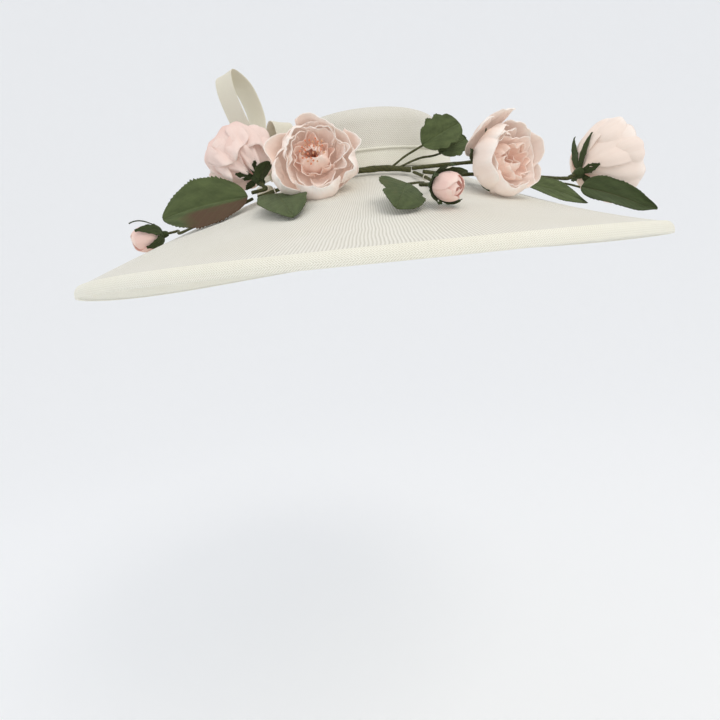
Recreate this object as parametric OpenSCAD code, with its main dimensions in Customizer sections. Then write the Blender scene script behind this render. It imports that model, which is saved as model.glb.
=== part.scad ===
// Wide-brimmed occasion hat in woven straw, trimmed with silk roses, buds and leaves.
// Millimetres. The origin is the centre of the head opening, at the foot of the crown.
// +Z is up the crown, -Y is the trimmed front, +X is the hat's side at the viewer's right.

/* [Head] */
// Half width of the crown at its foot
head_half_x = 80; // [72:1:88]
// Half length of the crown at its foot
head_half_y = 97; // [88:1:106]

/* [Straw] */
// Thickness of the blocked straw sheet
straw = 1.2; // [0.8:0.1:1.6]
// Thickness of the folded straw strip at the edge and round the crown
strip = 0.8; // [0.6:0.1:1.2]
// Gap between layers that are sewn to each other
seam = 0.15; // [0.12:0.01:0.3]

/* [Brim] */
// Radius of the brim's outer edge
brim_r = 264; // [235:1:320]
// Distance that the brim's centre lies to the left of the crown's centre
brim_offset = 6; // [0:1:15]
// Fall from the crown's foot to the plane of the edge
brim_fall = 75.5; // [60:0.5:92]
// Depth by which the brim sags below a straight cone
brim_sag = 2; // [0:0.5:5]
// Amount by which the sag is deeper on the right than in front, and shallower on the left
brim_sag_side = 5.4; // [0:0.2:8]
// Height of the edge's two-sided wave
edge_wave = 4.3; // [0:0.1:6]
// Direction in which the two-sided wave is lowest
edge_wave_at = 170; // [0:1:360]
// Height of the edge's three-sided wave
edge_ripple = 2.1; // [0:0.1:3]
// Direction in which the three-sided wave is highest
edge_ripple_at = -26; // [-60:1:60]
// Radius of the lip, where the brim turns down
lip_r = 6; // [4:0.5:9]
// Height of the straight edge below the lip
lip_drop = 3; // [2.5:0.5:6]
// Diameter of the wire that stiffens the edge
edge_wire_d = 1.6; // [1:0.1:2]

/* [Crown] */
// Height of the crown from its foot to the top of the dome
crown_h = 60; // [48:1:75]
// Inward lean of the crown's side at its top
crown_taper = 6; // [2:0.5:12]
// Radius between the crown's side and its top
crown_corner = 16; // [10:1:20]
// Rise of the domed top
crown_dome = 8; // [4:0.5:12]
// Height of the folded strip round the crown
band_h = 17; // [12:1:24]
// Height of the brim's collar inside the crown
collar_h = 13; // [10:1:16]
// Height of the grosgrain ribbon inside the head opening
ribbon_h = 24; // [18:1:30]
// Thickness of the grosgrain ribbon
ribbon = 0.7; // [0.5:0.1:1]
// Diameter of the wire round the head opening
head_wire_d = 1.1; // [0.8:0.1:1.1]

/* [Bow] */
// Width of the straw strip that the bow is made of
bow_w = 20; // [14:1:24]
// Height of the tall loop
bow_tall_h = 84; // [60:1:100]
// Height of the short loop
bow_short_h = 50; // [36:1:60]

/* [Roses] */
// Radius of the rose on the left, seen from behind
rose_left_r = 27; // [22:1:29]
// Radius of the open rose in front
rose_front_r = 27.5; // [24:1:30]
// Radius of the rose on the right of the front
rose_right_r = 24.5; // [22:1:27]
// Radius of the rose at the end of the long stem
rose_end_r = 29; // [24:1:31]
// Thickness of the stiffened silk petals
petal = 1.2; // [0.8:0.1:1.6]
// Radius of the bud in front
bud_front_r = 9; // [7:0.5:10]
// Radius of the bud on the left
bud_left_r = 11.5; // [9:0.5:13]

/* [Leaves and stems] */
// Thickness of the cotton leaves
leaf_t = 0.8; // [0.6:0.1:1]
// Diameter of the taped bundle of stems in front
bundle_d = 4.4; // [3.4:0.2:5]
// Diameter of a taped flower stem
stem_d = 3; // [2.2:0.2:3.4]
// Diameter of a leaf's wired stalk
stalk_d = 1.6; // [1.2:0.1:1.8]
// Gap between pieces that lie against each other
rest_gap = 0.3; // [0.25:0.05:0.6]
// Gap round the root of a piece that can be bent about it
bend_gap = 1; // [0.8:0.1:1.6]

/* [Hidden] */

around = 56;             // straight pieces in one turn of the hat's rings
petal_around = 20;       // straight pieces in one turn of a flower
lip_start = 67;          // angle on the lip's arc at which the brim meets it
sheet_steps = 4;         // rings of the brim between the crown and the lip

straw_colour = "#e6e3d8";
edge_colour = "#efeddf";
crown_colour = "#dad6c8";
blush = "#e3c4ba";
peach = "#e8bfa4";
cream = "#efe2cf";
leaf_green = "#3e5a33";
leaf_brown = "#5a4636";
tape = "#4a4b22";
wire_colour = "#d8d6cc";

// ---- Curves and skins ----

function unit(v) = v / norm(v);

// Smooth curve through hand-placed points, with n pieces between neighbours
function spline(a, b, c, d, u) =
    0.5 * (2 * b + (c - a) * u + (2 * a - 5 * b + 4 * c - d) * u * u
           + (3 * b - a - 3 * c + d) * u * u * u);
function smooth(p, n) =
    let (last = len(p) - 1)
    concat(
        [for (i = [0:last - 1], k = [0:n - 1])
            spline(p[max(i - 1, 0)], p[i], p[i + 1], p[min(i + 2, last)], k / n)],
        [p[last]]);

// Triangles between each ring of m points and the next; closed joins the last ring to the first
function side_faces(n, m, closed) =
    [for (i = [0:n - (closed ? 1 : 2)], j = [0:m - 1])
        let (a = i * m + j, b = i * m + (j + 1) % m,
             c = ((i + 1) % n) * m + (j + 1) % m, d = ((i + 1) % n) * m + j)
        each [[a, b, c], [a, c, d]]];
function fan(first, m, flip) =
    [for (j = [1:m - 2]) flip ? [first, first + j + 1, first + j] : [first, first + j, first + j + 1]];

// Solid whose surface runs through the rings in turn
module skin(rings, closed = false) {
    n = len(rings);
    m = len(rings[0]);
    ends = closed ? [] : concat(fan(0, m, true), fan((n - 1) * m, m, false));
    polyhedron([for (r = rings) each r], concat(side_faces(n, m, closed), ends));
}

// Round rod along a curve
module rod(path, d, sides = 8) {
    last = len(path) - 1;
    skin([for (i = [0:last])
        let (along = unit(path[min(i + 1, last)] - path[max(i - 1, 0)]),
             across = unit(cross(along, [0, 0, 1])), up = cross(across, along))
        [for (k = [0:sides - 1]) let (t = k * 360 / sides)
            path[i] + d / 2 * (across * cos(t) + up * sin(t))]]);
}

// Flat strip of cloth along a curve in the XZ plane, with its width along Y
module strap(path, width, thick) {
    last = len(path) - 1;
    skin([for (i = [0:last])
        let (along = unit(path[min(i + 1, last)] - path[max(i - 1, 0)]),
             out = [-along.y, along.x] * thick / 2, p = path[i])
        [for (c = [[-1, -1], [1, -1], [1, 1], [-1, 1]])
            [p.x + out.x * c[0], c[1] * width / 2, p.y + out.y * c[0]]]]);
}

// ---- Head, brim and crown ----

// Oval ring round the crown, moved out from its foot by e
function oval(e, z, q = 1) =
    [for (k = [0:around - 1]) let (t = -k * 360 / around)
        [(head_half_x + e) * q * cos(t), (head_half_y + e) * q * sin(t), z]];

// The brim is laid out by direction round the hat and distance out from the crown's foot
lip_start_r = brim_r - strip - seam - straw / 2 - lip_r + lip_r * cos(lip_start);
lip_start_z = -brim_fall + lip_drop + lip_r * sin(lip_start);
function inner_at(t) = [head_half_x * cos(t), head_half_y * sin(t)];
function outer_at(t) = [-brim_offset + lip_start_r * cos(t), lip_start_r * sin(t)];
function span(t) = norm(outer_at(t) - inner_at(t));
function wave(t) = edge_ripple * cos(3 * (t - edge_ripple_at)) - edge_wave * cos(2 * (t - edge_wave_at));
function sag(t) = brim_sag + brim_sag_side * cos(t);
function brim_z(t, s) = lip_start_z * s - 4 * sag(t) * s * (1 - s) + wave(t) * s * s;

// Point at [direction, distance out, height over the brim]
function over_brim(p) =
    let (t = p[0], u = unit(outer_at(t) - inner_at(t)), q = inner_at(t) + u * p[1])
    [q.x, q.y, brim_z(t, p[1] / span(t)) + straw / 2 + p[2]];
function over_brim_all(list) = [for (p = list) over_brim(p)];

// Inward lean of the crown's side at height z, which every layer sewn to it follows
shoulder_h = crown_h - crown_dome - crown_corner;
crown_foot = straw / 2 + 2;
function lean(z) = crown_taper * max(0, z - crown_foot) / (shoulder_h - crown_foot);

// Profile of the middle of the sheet in direction t, as [distance out, height]
collar_in = -straw - seam - straw / 2;
collar_profile = [[collar_in - lean(collar_h), collar_h], [collar_in, crown_foot], [collar_in + 0.6, 1]];
function sheet_profile(t) =
    [for (k = [0:sheet_steps]) let (s = k / sheet_steps) [s * span(t), brim_z(t, s)]];
function lip_profile(t) =
    let (start = span(t) - lip_r * cos(lip_start), mid = lip_drop - brim_fall + wave(t))
    concat([for (a = [40, 18, 0]) [start + lip_r * cos(a), mid + lip_r * sin(a)]],
           [[start + lip_r, mid - lip_drop + strip + seam]]);
function sheet_and_lip(t) = concat(collar_profile, sheet_profile(t), lip_profile(t));

// Profile moved square to itself by e, up and out for a positive e
function moved(profile, e) =
    let (last = len(profile) - 1)
    [for (i = [0:last])
        let (along = unit(profile[min(i + 1, last)] - profile[max(i - 1, 0)]))
        profile[i] + e * [-along.y, along.x]];
function reversed(list) = [for (i = [len(list) - 1:-1:0]) list[i]];
function stand(profile, t) =
    let (u = unit(outer_at(t) - inner_at(t)))
    [for (p = profile) [inner_at(t).x + u.x * p.x, inner_at(t).y + u.y * p.x, p.y]];
module ring_of(sections) {
    skin(sections, closed = true);
}
directions = [for (k = [0:around - 1]) k * 360 / around];

module brim() {
    color(straw_colour)
        ring_of([for (t = directions)
            let (middle = sheet_and_lip(t))
            stand(concat(moved(middle, -straw / 2), reversed(moved(middle, straw / 2))), t)]);
}

// Face of the lip, e out from the middle of its sheet
function lip_face(t, e) =
    let (face = moved(sheet_and_lip(t), e), first = len(face) - len(lip_profile(t)))
    [for (i = [first:len(face) - 1]) face[i]];

// The lip's cover starts on the arc, runs round the edge and a little way up inside it
module edge_fold() {
    near = straw / 2 + seam;
    far = near + strip;
    color(edge_colour)
        ring_of([for (t = directions)
            let (end = sheet_and_lip(t)[len(sheet_and_lip(t)) - 1], foot = end.y - seam,
                 inside = lip_face(t, -near), inside_far = lip_face(t, -far))
            stand(concat(lip_face(t, near), [[end.x + near, foot], [end.x - near, foot]],
                         [inside[2], inside[1], inside_far[1], inside_far[2]],
                         [[end.x - far, foot - strip], [end.x + far, foot - strip]],
                         reversed(lip_face(t, far))), t)]);
}

// The wire lies inside the lip, in the corner above the end of the fold
module edge_wire() {
    r = edge_wire_d / 2;
    color(wire_colour)
        ring_of([for (t = directions)
            let (middle = lip_face(t, -straw / 2 - rest_gap - r)[0])
            stand([for (a = [0:60:300]) middle + r * [cos(a), sin(a)]], t)]);
}

// Outer profile of the crown as [inset from the foot, share of the top left to the middle, height]
function crown_profile(e) =
    concat([[-e, 1, crown_foot], [crown_taper - e, 1, shoulder_h]],
           [for (a = [30, 60, 90])
               [crown_taper + crown_corner - (crown_corner + e) * cos(a), 1,
                shoulder_h + (crown_corner + e) * sin(a)]],
           [for (q = [0.72, 0.4, 0.06])
               [crown_taper + crown_corner, q, crown_h - crown_dome * q * q + e]]);
function crown_rings(e) = [for (p = crown_profile(e)) oval(-p[0], p[2], p[1])];
module crown() {
    color(crown_colour)
        skin(concat(reversed(crown_rings(-straw)), crown_rings(0)));
}

// Folded strip round the crown: its top edge is a round fold, thicker than its body
module crown_band() {
    low = straw / 2 + rest_gap;
    roll_h = 2;
    below = band_h - roll_h;
    color(edge_colour)
        skin(closed = true, [oval(seam, low), oval(seam + strip, low),
                             oval(seam + strip, crown_foot),
                             oval(seam + strip - lean(below), below),
                             oval(seam + 1.6 * strip - lean(below), band_h - roll_h / 2),
                             oval(seam + strip - lean(band_h), band_h),
                             oval(seam - lean(band_h), band_h), oval(seam, crown_foot)]);
}

ribbon_out = collar_in - straw / 2 - seam;
module head_ribbon() {
    color(cream)
        skin(closed = true, [for (c = [[-ribbon, -1], [0, -1], [0, crown_foot], [0, ribbon_h - 1],
                                       [-ribbon, ribbon_h - 1], [-ribbon, crown_foot]])
            oval(ribbon_out + c[0] - lean(c[1]), c[1])]);
}

// Flat bow that marks the back of the head ribbon
module ribbon_bow() {
    inside = ribbon_out - ribbon - lean(11);
    y = (head_half_y + inside) * sqrt(1 - pow(9 / (head_half_x + inside), 2)) - rest_gap;
    color(cream)
        translate([0, y, 6])
            rotate([90, 0, 0]) {
                for (side = [-1, 1])
                    linear_extrude(1)
                        polygon([[0, -1.5], [side * 9, -5], [side * 9, 5], [0, 1.5]]);
                translate([-2, -3, 0])
                    cube([4, 6, 1.6]);
            }
}

// Wire on top of the brim's collar, between the crown and the ribbon
module head_wire() {
    r = head_wire_d / 2;
    z = collar_h + rest_gap + r;
    e = collar_in - lean(z);
    color(wire_colour)
        skin(closed = true, [for (a = [0:60:300]) oval(e + r * cos(a), z + r * sin(a))]);
}

// ---- Bow of straw strip on the left of the crown ----

bow_root = over_brim([201, 20, 7]);
tall_bearing = 58;       // direction that the tall loop opens towards
short_bearing = -46;     // direction that the short loop leans towards

// Loops in their own plane, as [distance out, share of the height]
tall_path = smooth([[2, -0.12], [2, 0], [1, 0.26], [-7, 0.58], [-10.2, 0.85], [-4.5, 1], [13, 0.87],
                    [18.5, 0.56], [9.5, 0.27], [7.5, 0], [6.5, -0.11]], 2);
short_path = smooth([[0, 0.22], [4, 0.42], [10, 0.7], [16, 0.92], [21, 1], [26, 0.92], [27, 0.7],
                     [19, 0.36], [9, 0.08]], 2);
module bow_loop(path, h) {
    strap([for (p = path) [p.x, p.y * h]], bow_w, strip);
}
module at_bow(bearing) {
    translate(bow_root)
        rotate([0, 0, bearing])
            children();
}
module bow_tall() {
    color(crown_colour)
        at_bow(tall_bearing)
            translate([-2.3, 1.9, 16.4])
                rotate([-8.2, -4.5, 0])
                    bow_loop(tall_path, bow_tall_h);
}
module bow_short() {
    color(crown_colour)
        at_bow(short_bearing)
            translate([12, 1, 0])
                bow_loop(short_path, bow_short_h);
}
module bow_knot() {
    color(crown_colour)
        at_bow(tall_bearing)
            rotate([90, 0, 0])
                cylinder(h = bow_w * 0.8, r = 4.2, center = true, $fn = 32);
}

// ---- Flowers ----

// Puts children at a place over the brim, with their +Z along the given bearing
module facing(place, bearing, rise) {
    translate(over_brim(place))
        rotate([0, 90 - rise, bearing])
            children();
}

// Point where a flower's stem ends: the given distance behind its middle
function neck(place, bearing, rise, back) =
    over_brim(place) - back * [cos(bearing) * cos(rise), sin(bearing) * cos(rise), sin(rise)];

// Ring on a petal cup: a is the angle from the back pole and long stretches it forwards
function cup_ring(r, pole, open, u, count, notch, ruffle, long) =
    [for (k = [0:petal_around - 1])
        let (t = k * 360 / petal_around,
             lobe = 1 - notch * (1 - abs(cos(count * t / 2))),
             a = pole + (open * lobe - pole) * u,
             q = r * (1 + ruffle * u * u * cos(count * t)))
        [q * sin(a) * cos(t), q * sin(a) * sin(t), -q * long * cos(a)]];

// Cup of overlapping petals, open towards +Z, its rim notched between the petals
module cup(r, open, count, notch = 0.12, ruffle = 0.05, long = 1, pole = 10, steps = 4) {
    inner = [for (k = [0:steps])
        cup_ring(r - petal, pole, open, k / steps, count, notch, ruffle, long)];
    outer = [for (k = [0:steps])
        cup_ring(r, pole, open, k / steps, count, notch, ruffle, long)];
    skin(concat(inner, reversed(outer)));
}

rose_hip_h = 7;          // length of the hip behind a rose
bud_hip_h = 4;           // length of the hip behind a bud
bud_long = 1.15;         // length of a bud over its width
inner_share = 0.74;      // radius of the inner cup over the outer one
heart_share = 0.46;      // radius of the heart over the outer cup
inner_long = 1.2;
heart_long = 1.45;
// Distance that a nested cup stands forward so that its back rests on the one behind it
function nest(r, share, long) = -(r - petal) + r * share * long + rest_gap;

module rose_outer(r) {
    cup(r, 104, 5, 0.1, 0.05);
}
module rose_inner(r) {
    translate([0, 0, nest(r, inner_share, inner_long)])
        cup(r * inner_share, 108, 4, 0.12, 0.04, inner_long, steps = 3);
}
module rose_heart(r) {
    z = nest(r, inner_share, inner_long) - (r * inner_share - petal) * inner_long
        + r * heart_share * heart_long + rest_gap;
    translate([0, 0, z])
        cup(r * heart_share, 128, 3, 0.1, 0.05, heart_long, steps = 3);
}

// Green hip with five sepals spread over the back of a flower of radius r.
// Distance behind the flower's middle of its calyx, and of the hip's end, where the stem starts
function calyx_near(r) = r * 1.05 + rest_gap;
function hip_end(r, hip_h, long = 1) = (calyx_near(r) + leaf_t) * long + hip_h;
module calyx(r, reach, hip_r, hip_h, long = 1) {
    near = calyx_near(r);
    star = 0.5;
    inner = [for (k = [0:2]) cup_ring(near, 6, reach, k / 2, 5, star, 0, long)];
    outer = [for (k = [0:2]) cup_ring(near + leaf_t, 14, reach, k / 2, 5, star, 0, long)];
    stop = -hip_end(r, hip_h, long);
    hip = [for (p = [[hip_r, hip_h * 0.75], [hip_r * 0.8, hip_h * 0.4], [stem_d * 0.55, 0]])
        [for (k = [0:petal_around - 1]) let (t = k * 360 / petal_around)
            [p[0] * cos(t), p[0] * sin(t), stop + p[1]]]];
    skin(concat(inner, reversed(outer), hip));
}

left_place = [216.9, 47, 38.5];
left_bearing = 130;
left_rise = 42;
front_place = [254.2, 53, 30];
front_bearing = -88;
front_rise = 4;
right_place = [306.5, 84, 31];
right_bearing = -62;
right_rise = -4;
end_place = [344.5, 132, 46.5];
end_bearing = 24;
end_rise = 14;

module rose_left_outer() {
    color(blush) facing(left_place, left_bearing, left_rise) rose_outer(rose_left_r);
}
module rose_left_inner() {
    color(blush) facing(left_place, left_bearing, left_rise) rose_inner(rose_left_r);
}
module rose_left_heart() {
    color(peach) facing(left_place, left_bearing, left_rise) rose_heart(rose_left_r);
}
module rose_left_calyx() {
    color(leaf_green) facing(left_place, left_bearing, left_rise) calyx(rose_left_r, 42, 4, rose_hip_h);
}
module rose_front_outer() {
    color(blush) facing(front_place, front_bearing, front_rise) rose_outer(rose_front_r);
}
module rose_front_inner() {
    color(blush) facing(front_place, front_bearing, front_rise) rose_inner(rose_front_r);
}
module rose_front_heart() {
    color(peach) facing(front_place, front_bearing, front_rise) rose_heart(rose_front_r);
}
module rose_front_calyx() {
    color(leaf_green) facing(front_place, front_bearing, front_rise) calyx(rose_front_r, 34, 4, rose_hip_h);
}
// Stamens stand in the heart's hollow
module rose_front_stamens() {
    r = rose_front_r;
    foot = nest(r, inner_share, inner_long) - (r * inner_share - petal) * inner_long
        + petal * heart_long + rest_gap * 2 + 2;
    color(cream)
        facing(front_place, front_bearing, front_rise)
            translate([0, 0, foot]) {
                cylinder(h = 3, r = 4, $fn = 24);
                for (k = [0:4])
                    rotate([0, 0, k * 72])
                        translate([2.4, 0, 2])
                            rotate([0, 6, 0]) {
                                cylinder(h = r * 0.6, r = 0.4, $fn = 16);
                                translate([0, 0, r * 0.6])
                                    sphere(r = 1, $fn = 16);
                            }
            }
}
module rose_right_outer() {
    color(blush) facing(right_place, right_bearing, right_rise) rose_outer(rose_right_r);
}
module rose_right_inner() {
    color(blush) facing(right_place, right_bearing, right_rise) rose_inner(rose_right_r);
}
module rose_right_heart() {
    color(peach) facing(right_place, right_bearing, right_rise) rose_heart(rose_right_r);
}
module rose_right_calyx() {
    color(leaf_green) facing(right_place, right_bearing, right_rise) calyx(rose_right_r, 36, 4, rose_hip_h);
}
module rose_end_outer() {
    color(blush) facing(end_place, end_bearing, end_rise) rose_outer(rose_end_r);
}
module rose_end_inner() {
    color(blush) facing(end_place, end_bearing, end_rise) rose_inner(rose_end_r);
}
module rose_end_heart() {
    color(peach) facing(end_place, end_bearing, end_rise) rose_heart(rose_end_r);
}
module rose_end_calyx() {
    color(leaf_green) facing(end_place, end_bearing, end_rise) calyx(rose_end_r, 60, 4.5, rose_hip_h);
}

// Closed bud: an egg of wrapped petals
module bud(r) {
    cup(r, 158, 3, 0.06, 0.03, bud_long, steps = 5);
}
bud_front_place = [285, 104, 14.5];
bud_front_bearing = -52;
bud_front_rise = -12;
bud_left_place = [194.4, 128, 15.5];
bud_left_bearing = 196;
bud_left_rise = -8;
module bud_front() {
    color(blush) facing(bud_front_place, bud_front_bearing, bud_front_rise) bud(bud_front_r);
}
module bud_front_sepals() {
    color(leaf_green)
        facing(bud_front_place, bud_front_bearing, bud_front_rise)
            calyx(bud_front_r, 75, 3, bud_hip_h, bud_long);
}
module bud_left() {
    color(blush) facing(bud_left_place, bud_left_bearing, bud_left_rise) bud(bud_left_r);
}
module bud_left_sepals() {
    color(leaf_green)
        facing(bud_left_place, bud_left_bearing, bud_left_rise)
            calyx(bud_left_r, 80, 3, bud_hip_h, bud_long);
}

// ---- Leaves ----

// Leaf from root to tip, arched by rise and folded up along its midrib; roll turns it about
// the line from root to tip
leaf_steps = 7;
module leaf(root, tip, width, roll = 0, rise = 2, fold = 0.12) {
    from = over_brim(root);
    axis = over_brim(tip) - from;
    level = unit(cross([0, 0, 1], axis));
    over = unit(cross(axis, level));
    side = level * cos(roll) + over * sin(roll);
    top = over * cos(roll) - level * sin(roll);
    skin([for (i = [0:leaf_steps])
        let (u = i / leaf_steps, half = width / 2 * (0.06 + 0.94 * pow(sin(180 * pow(u, 0.85)), 0.8)),
             mid = from + axis * u + top * rise * sin(180 * u), lift = top * half * fold * 2,
             h = top * leaf_t)
        [mid - side * half + lift + h, mid + h, mid + side * half + lift + h,
         mid + side * half + lift, mid, mid - side * half + lift]]);
}
module leaf_big() {
    color(leaf_green) leaf([230, 62, 9], [217, 116, 18], 43, -62, 3);
}
module leaf_behind() {
    color(leaf_green) leaf([219, 78, 17.5], [213.5, 101, 30], 15, -60, 1);
}
module leaf_under() {
    color(leaf_brown) leaf([240, 56, 5.5], [255, 103, 2], 34, 9, 2, 0.06);
}
module leaf_sliver() {
    color(leaf_green) leaf([229.5, 48, 16.5], [233.5, 43, 27.5], 14, -20, 1);
}
module leaf_round() {
    color(leaf_green) leaf([293.2, 27, 23.2], [307.6, 38, 43.5], 28, 65, 1);
}
module leaf_middle() {
    color(leaf_green) leaf([301.5, 27.2, 17.5], [312.5, 36, 32], 23, 62, 1);
}
module leaf_lobed() {
    color(leaf_brown) leaf([279, 75, 9.5], [273.6, 105, 3.8], 29, -26, 2, 0.06);
}
module leaf_long() {
    color(leaf_green) leaf([321.5, 72, 9.5], [333.6, 113, 5.5], 18, 46, 2, 0.08);
}
module leaf_curled() {
    color(leaf_brown) leaf([334, 109, 17.5], [335.9, 163, 7.5], 27, 42, 3);
}

// ---- Stems ----

bundle_path = smooth(over_brim_all([[262, 17, 4.5], [267, 16.5, 4.5], [277, 18, 5],
                                    [287, 24, 5]]), 3);
left_path = smooth(over_brim_all([[247, 28, 5], [241.8, 31.3, 5.5], [234.4, 43, 5.5],
                                  [229.5, 50, 5]]), 3);
// A stem runs from its bundle to the neck of its flower, and meets it straight
neck_run = 4;
function to_neck(list, place, bearing, rise, back) =
    smooth(concat(over_brim_all(list), [for (more = [2, 1, 0] * neck_run)
        neck(place, bearing, rise, back + bend_gap + more)]), 3);
left_rose_path = to_neck([[228, 51.5, 9.5]], left_place, left_bearing, left_rise,
                         hip_end(rose_left_r, rose_hip_h));
front_rose_path = to_neck([[258, 15, 5], [254, 17, 8.5]], front_place, front_bearing, front_rise,
                          hip_end(rose_front_r, rose_hip_h));
right_path = to_neck([[289, 27.5, 7], [293, 33, 9.5]], right_place, right_bearing, right_rise,
                     hip_end(rose_right_r, rose_hip_h));
end_path = to_neck([[292, 33, 5.5], [300, 41, 6], [309.8, 50, 9], [320, 63, 13], [330.7, 78, 17.5]],
                   end_place, end_bearing, end_rise, hip_end(rose_end_r, rose_hip_h));
bud_front_path = to_neck([[288, 31, 4.5], [288.5, 46, 5.5], [287.5, 64, 6.5]],
                         bud_front_place, bud_front_bearing, bud_front_rise,
                         hip_end(bud_front_r, bud_hip_h, bud_long));
bud_left_path = to_neck([[226.8, 55, 5], [218.1, 67.7, 2.5], [207.9, 82.7, 2.5], [200, 98, 4]],
                        bud_left_place, bud_left_bearing, bud_left_rise,
                        hip_end(bud_left_r, bud_hip_h, bud_long));
lobed_path = smooth(over_brim_all([[284.6, 62, 6.5], [282.4, 69, 8.5], [279.3, 73.8, 9.3]]), 3);
round_path = smooth(over_brim_all([[283, 20, 9.5], [287, 21, 14.5], [292.6, 26.3, 22.2]]), 3);
middle_path = smooth(over_brim_all([[294, 22, 13], [298, 25, 15], [301, 26.8, 17.2]]), 3);
curled_path = smooth(over_brim_all([[330.3, 92, 16], [332.4, 99, 17.5], [333.8, 106.8, 17.4]]), 3);

module stem_bundle() {
    color(tape) rod(bundle_path, bundle_d);
}
module stem_left_rose() {
    color(tape) rod(left_rose_path, stem_d);
}
module stem_front_rose() {
    color(tape) rod(front_rose_path, stem_d);
}
module stem_right_rose() {
    color(tape) rod(right_path, stem_d);
}
module stem_end_rose() {
    color(tape) rod(end_path, stem_d);
}
module stem_bud_front() {
    color(tape) rod(bud_front_path, stem_d * 0.75);
}
module stem_lobed_leaf() {
    color(tape) rod(lobed_path, stalk_d, 6);
}
module stem_round_leaf() {
    color(tape) rod(round_path, stalk_d, 6);
}
module stem_middle_leaf() {
    color(tape) rod(middle_path, stalk_d, 6);
}
module stem_curled_leaf() {
    color(tape) rod(curled_path, stalk_d, 6);
}
module stem_left() {
    color(tape) rod(left_path, stem_d);
}
module stem_bud_left() {
    color(tape) rod(bud_left_path, stem_d * 0.8);
}

// Thread stitch round a stem of diameter d, at step i of its path
module tie(path, i, d) {
    along = unit(path[i + 1] - path[i - 1]);
    translate(path[i])
        rotate([0, acos(along.z), atan2(along.y, along.x)])
            rotate_extrude($fn = 32)
                translate([d / 2 + rest_gap + 0.4, 0])
                    circle(r = 0.4, $fn = 16);
}
module tie_front() {
    color(cream) tie(bud_front_path, 3, stem_d * 0.75);
}
module tie_left() {
    color(cream) tie(left_path, 6, stem_d);
}

brim();
edge_fold();
edge_wire();
crown();
crown_band();
head_ribbon();
ribbon_bow();
head_wire();
bow_tall();
bow_short();
bow_knot();
rose_left_outer();
rose_left_inner();
rose_left_heart();
rose_left_calyx();
rose_front_outer();
rose_front_inner();
rose_front_heart();
rose_front_stamens();
rose_front_calyx();
rose_right_outer();
rose_right_inner();
rose_right_heart();
rose_right_calyx();
rose_end_outer();
rose_end_inner();
rose_end_heart();
rose_end_calyx();
bud_front();
bud_front_sepals();
bud_left();
bud_left_sepals();
leaf_big();
leaf_behind();
leaf_under();
leaf_sliver();
leaf_round();
leaf_middle();
leaf_lobed();
leaf_long();
leaf_curled();
stem_bundle();
stem_left_rose();
stem_front_rose();
stem_round_leaf();
stem_middle_leaf();
stem_right_rose();
stem_end_rose();
stem_bud_front();
stem_lobed_leaf();
stem_left();
stem_bud_left();
stem_curled_leaf();
tie_front();
tie_left();
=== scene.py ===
import math

import bpy
import numpy as np
from mathutils import Matrix, Vector


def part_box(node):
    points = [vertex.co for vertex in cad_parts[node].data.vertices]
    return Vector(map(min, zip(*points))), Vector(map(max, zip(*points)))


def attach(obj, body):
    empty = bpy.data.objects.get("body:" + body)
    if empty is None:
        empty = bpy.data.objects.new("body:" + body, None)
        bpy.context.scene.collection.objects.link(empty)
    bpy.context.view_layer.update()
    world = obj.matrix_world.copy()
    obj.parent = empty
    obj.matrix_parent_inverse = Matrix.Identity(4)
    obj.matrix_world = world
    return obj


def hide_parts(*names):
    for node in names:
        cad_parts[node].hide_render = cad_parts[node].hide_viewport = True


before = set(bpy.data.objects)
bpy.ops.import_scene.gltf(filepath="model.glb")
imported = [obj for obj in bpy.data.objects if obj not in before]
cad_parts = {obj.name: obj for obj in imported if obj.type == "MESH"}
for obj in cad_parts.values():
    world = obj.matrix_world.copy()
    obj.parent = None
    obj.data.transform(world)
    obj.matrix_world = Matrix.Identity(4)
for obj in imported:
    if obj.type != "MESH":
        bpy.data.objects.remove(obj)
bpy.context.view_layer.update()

scene = bpy.context.scene
MM = 0.001                      # the shapes are worked out in millimetres
rng = np.random.default_rng(7)

# ---- Camera, floor and light ----

camera = bpy.data.objects.new("camera", bpy.data.cameras.new("camera"))
scene.collection.objects.link(camera)
right, up = Vector((0.99348, -0.00240, -0.11401)), Vector((0.11275, 0.17005, 0.97896))
back = Vector((0.01704, -0.98543, 0.16921))
camera.matrix_world = Matrix.Translation(Vector((-9.79, -561.23, -73.02)) * MM) @ \
    Matrix((right, up, back)).transposed().to_4x4()
camera.data.lens = 27.92
camera.data.sensor_width = 36
camera.data.shift_x = -0.01175
camera.data.clip_start = 0.01
scene.camera = camera
scene.view_settings.view_transform = "Standard"


def linear(code):
    """sRGB hex colour to linear RGBA."""
    value = np.array([int(code[i:i + 2], 16) / 255 for i in (1, 3, 5)])
    value = np.where(value <= 0.04045, value / 12.92, ((value + 0.055) / 1.055) ** 2.4)
    return (*value, 1.0)


def material(name):
    """New node material: its tree and its Principled shader."""
    made = bpy.data.materials.new(name)
    made.use_nodes = True
    return made, made.node_tree, made.node_tree.nodes["Principled BSDF"]


def node(tree, kind, settings=None, **links):
    """Adds a node, with its settings, and its inputs linked or set: each key is an input's name or number."""
    made = tree.nodes.new("ShaderNode" + kind)
    for key, value in (settings or {}).items():
        setattr(made, key, value)
    for key, value in links.items():
        socket = made.inputs[int(key[2:]) if key.startswith("in") and key[2:].isdigit() else key]
        if isinstance(value, bpy.types.NodeSocket):
            tree.links.new(value, socket)
        else:
            socket.default_value = value
    return made


def fixed(shader, values):
    """Set numbers and colours that are the same all over, on the shader's own sockets."""
    for socket, value in values.items():
        shader.inputs[socket].default_value = value


def math_of(tree, operation, a, b=0.0, c=0.0):
    return node(tree, "Math", {"operation": operation}, in0=a, in1=b, in2=c).outputs[0]


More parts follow.
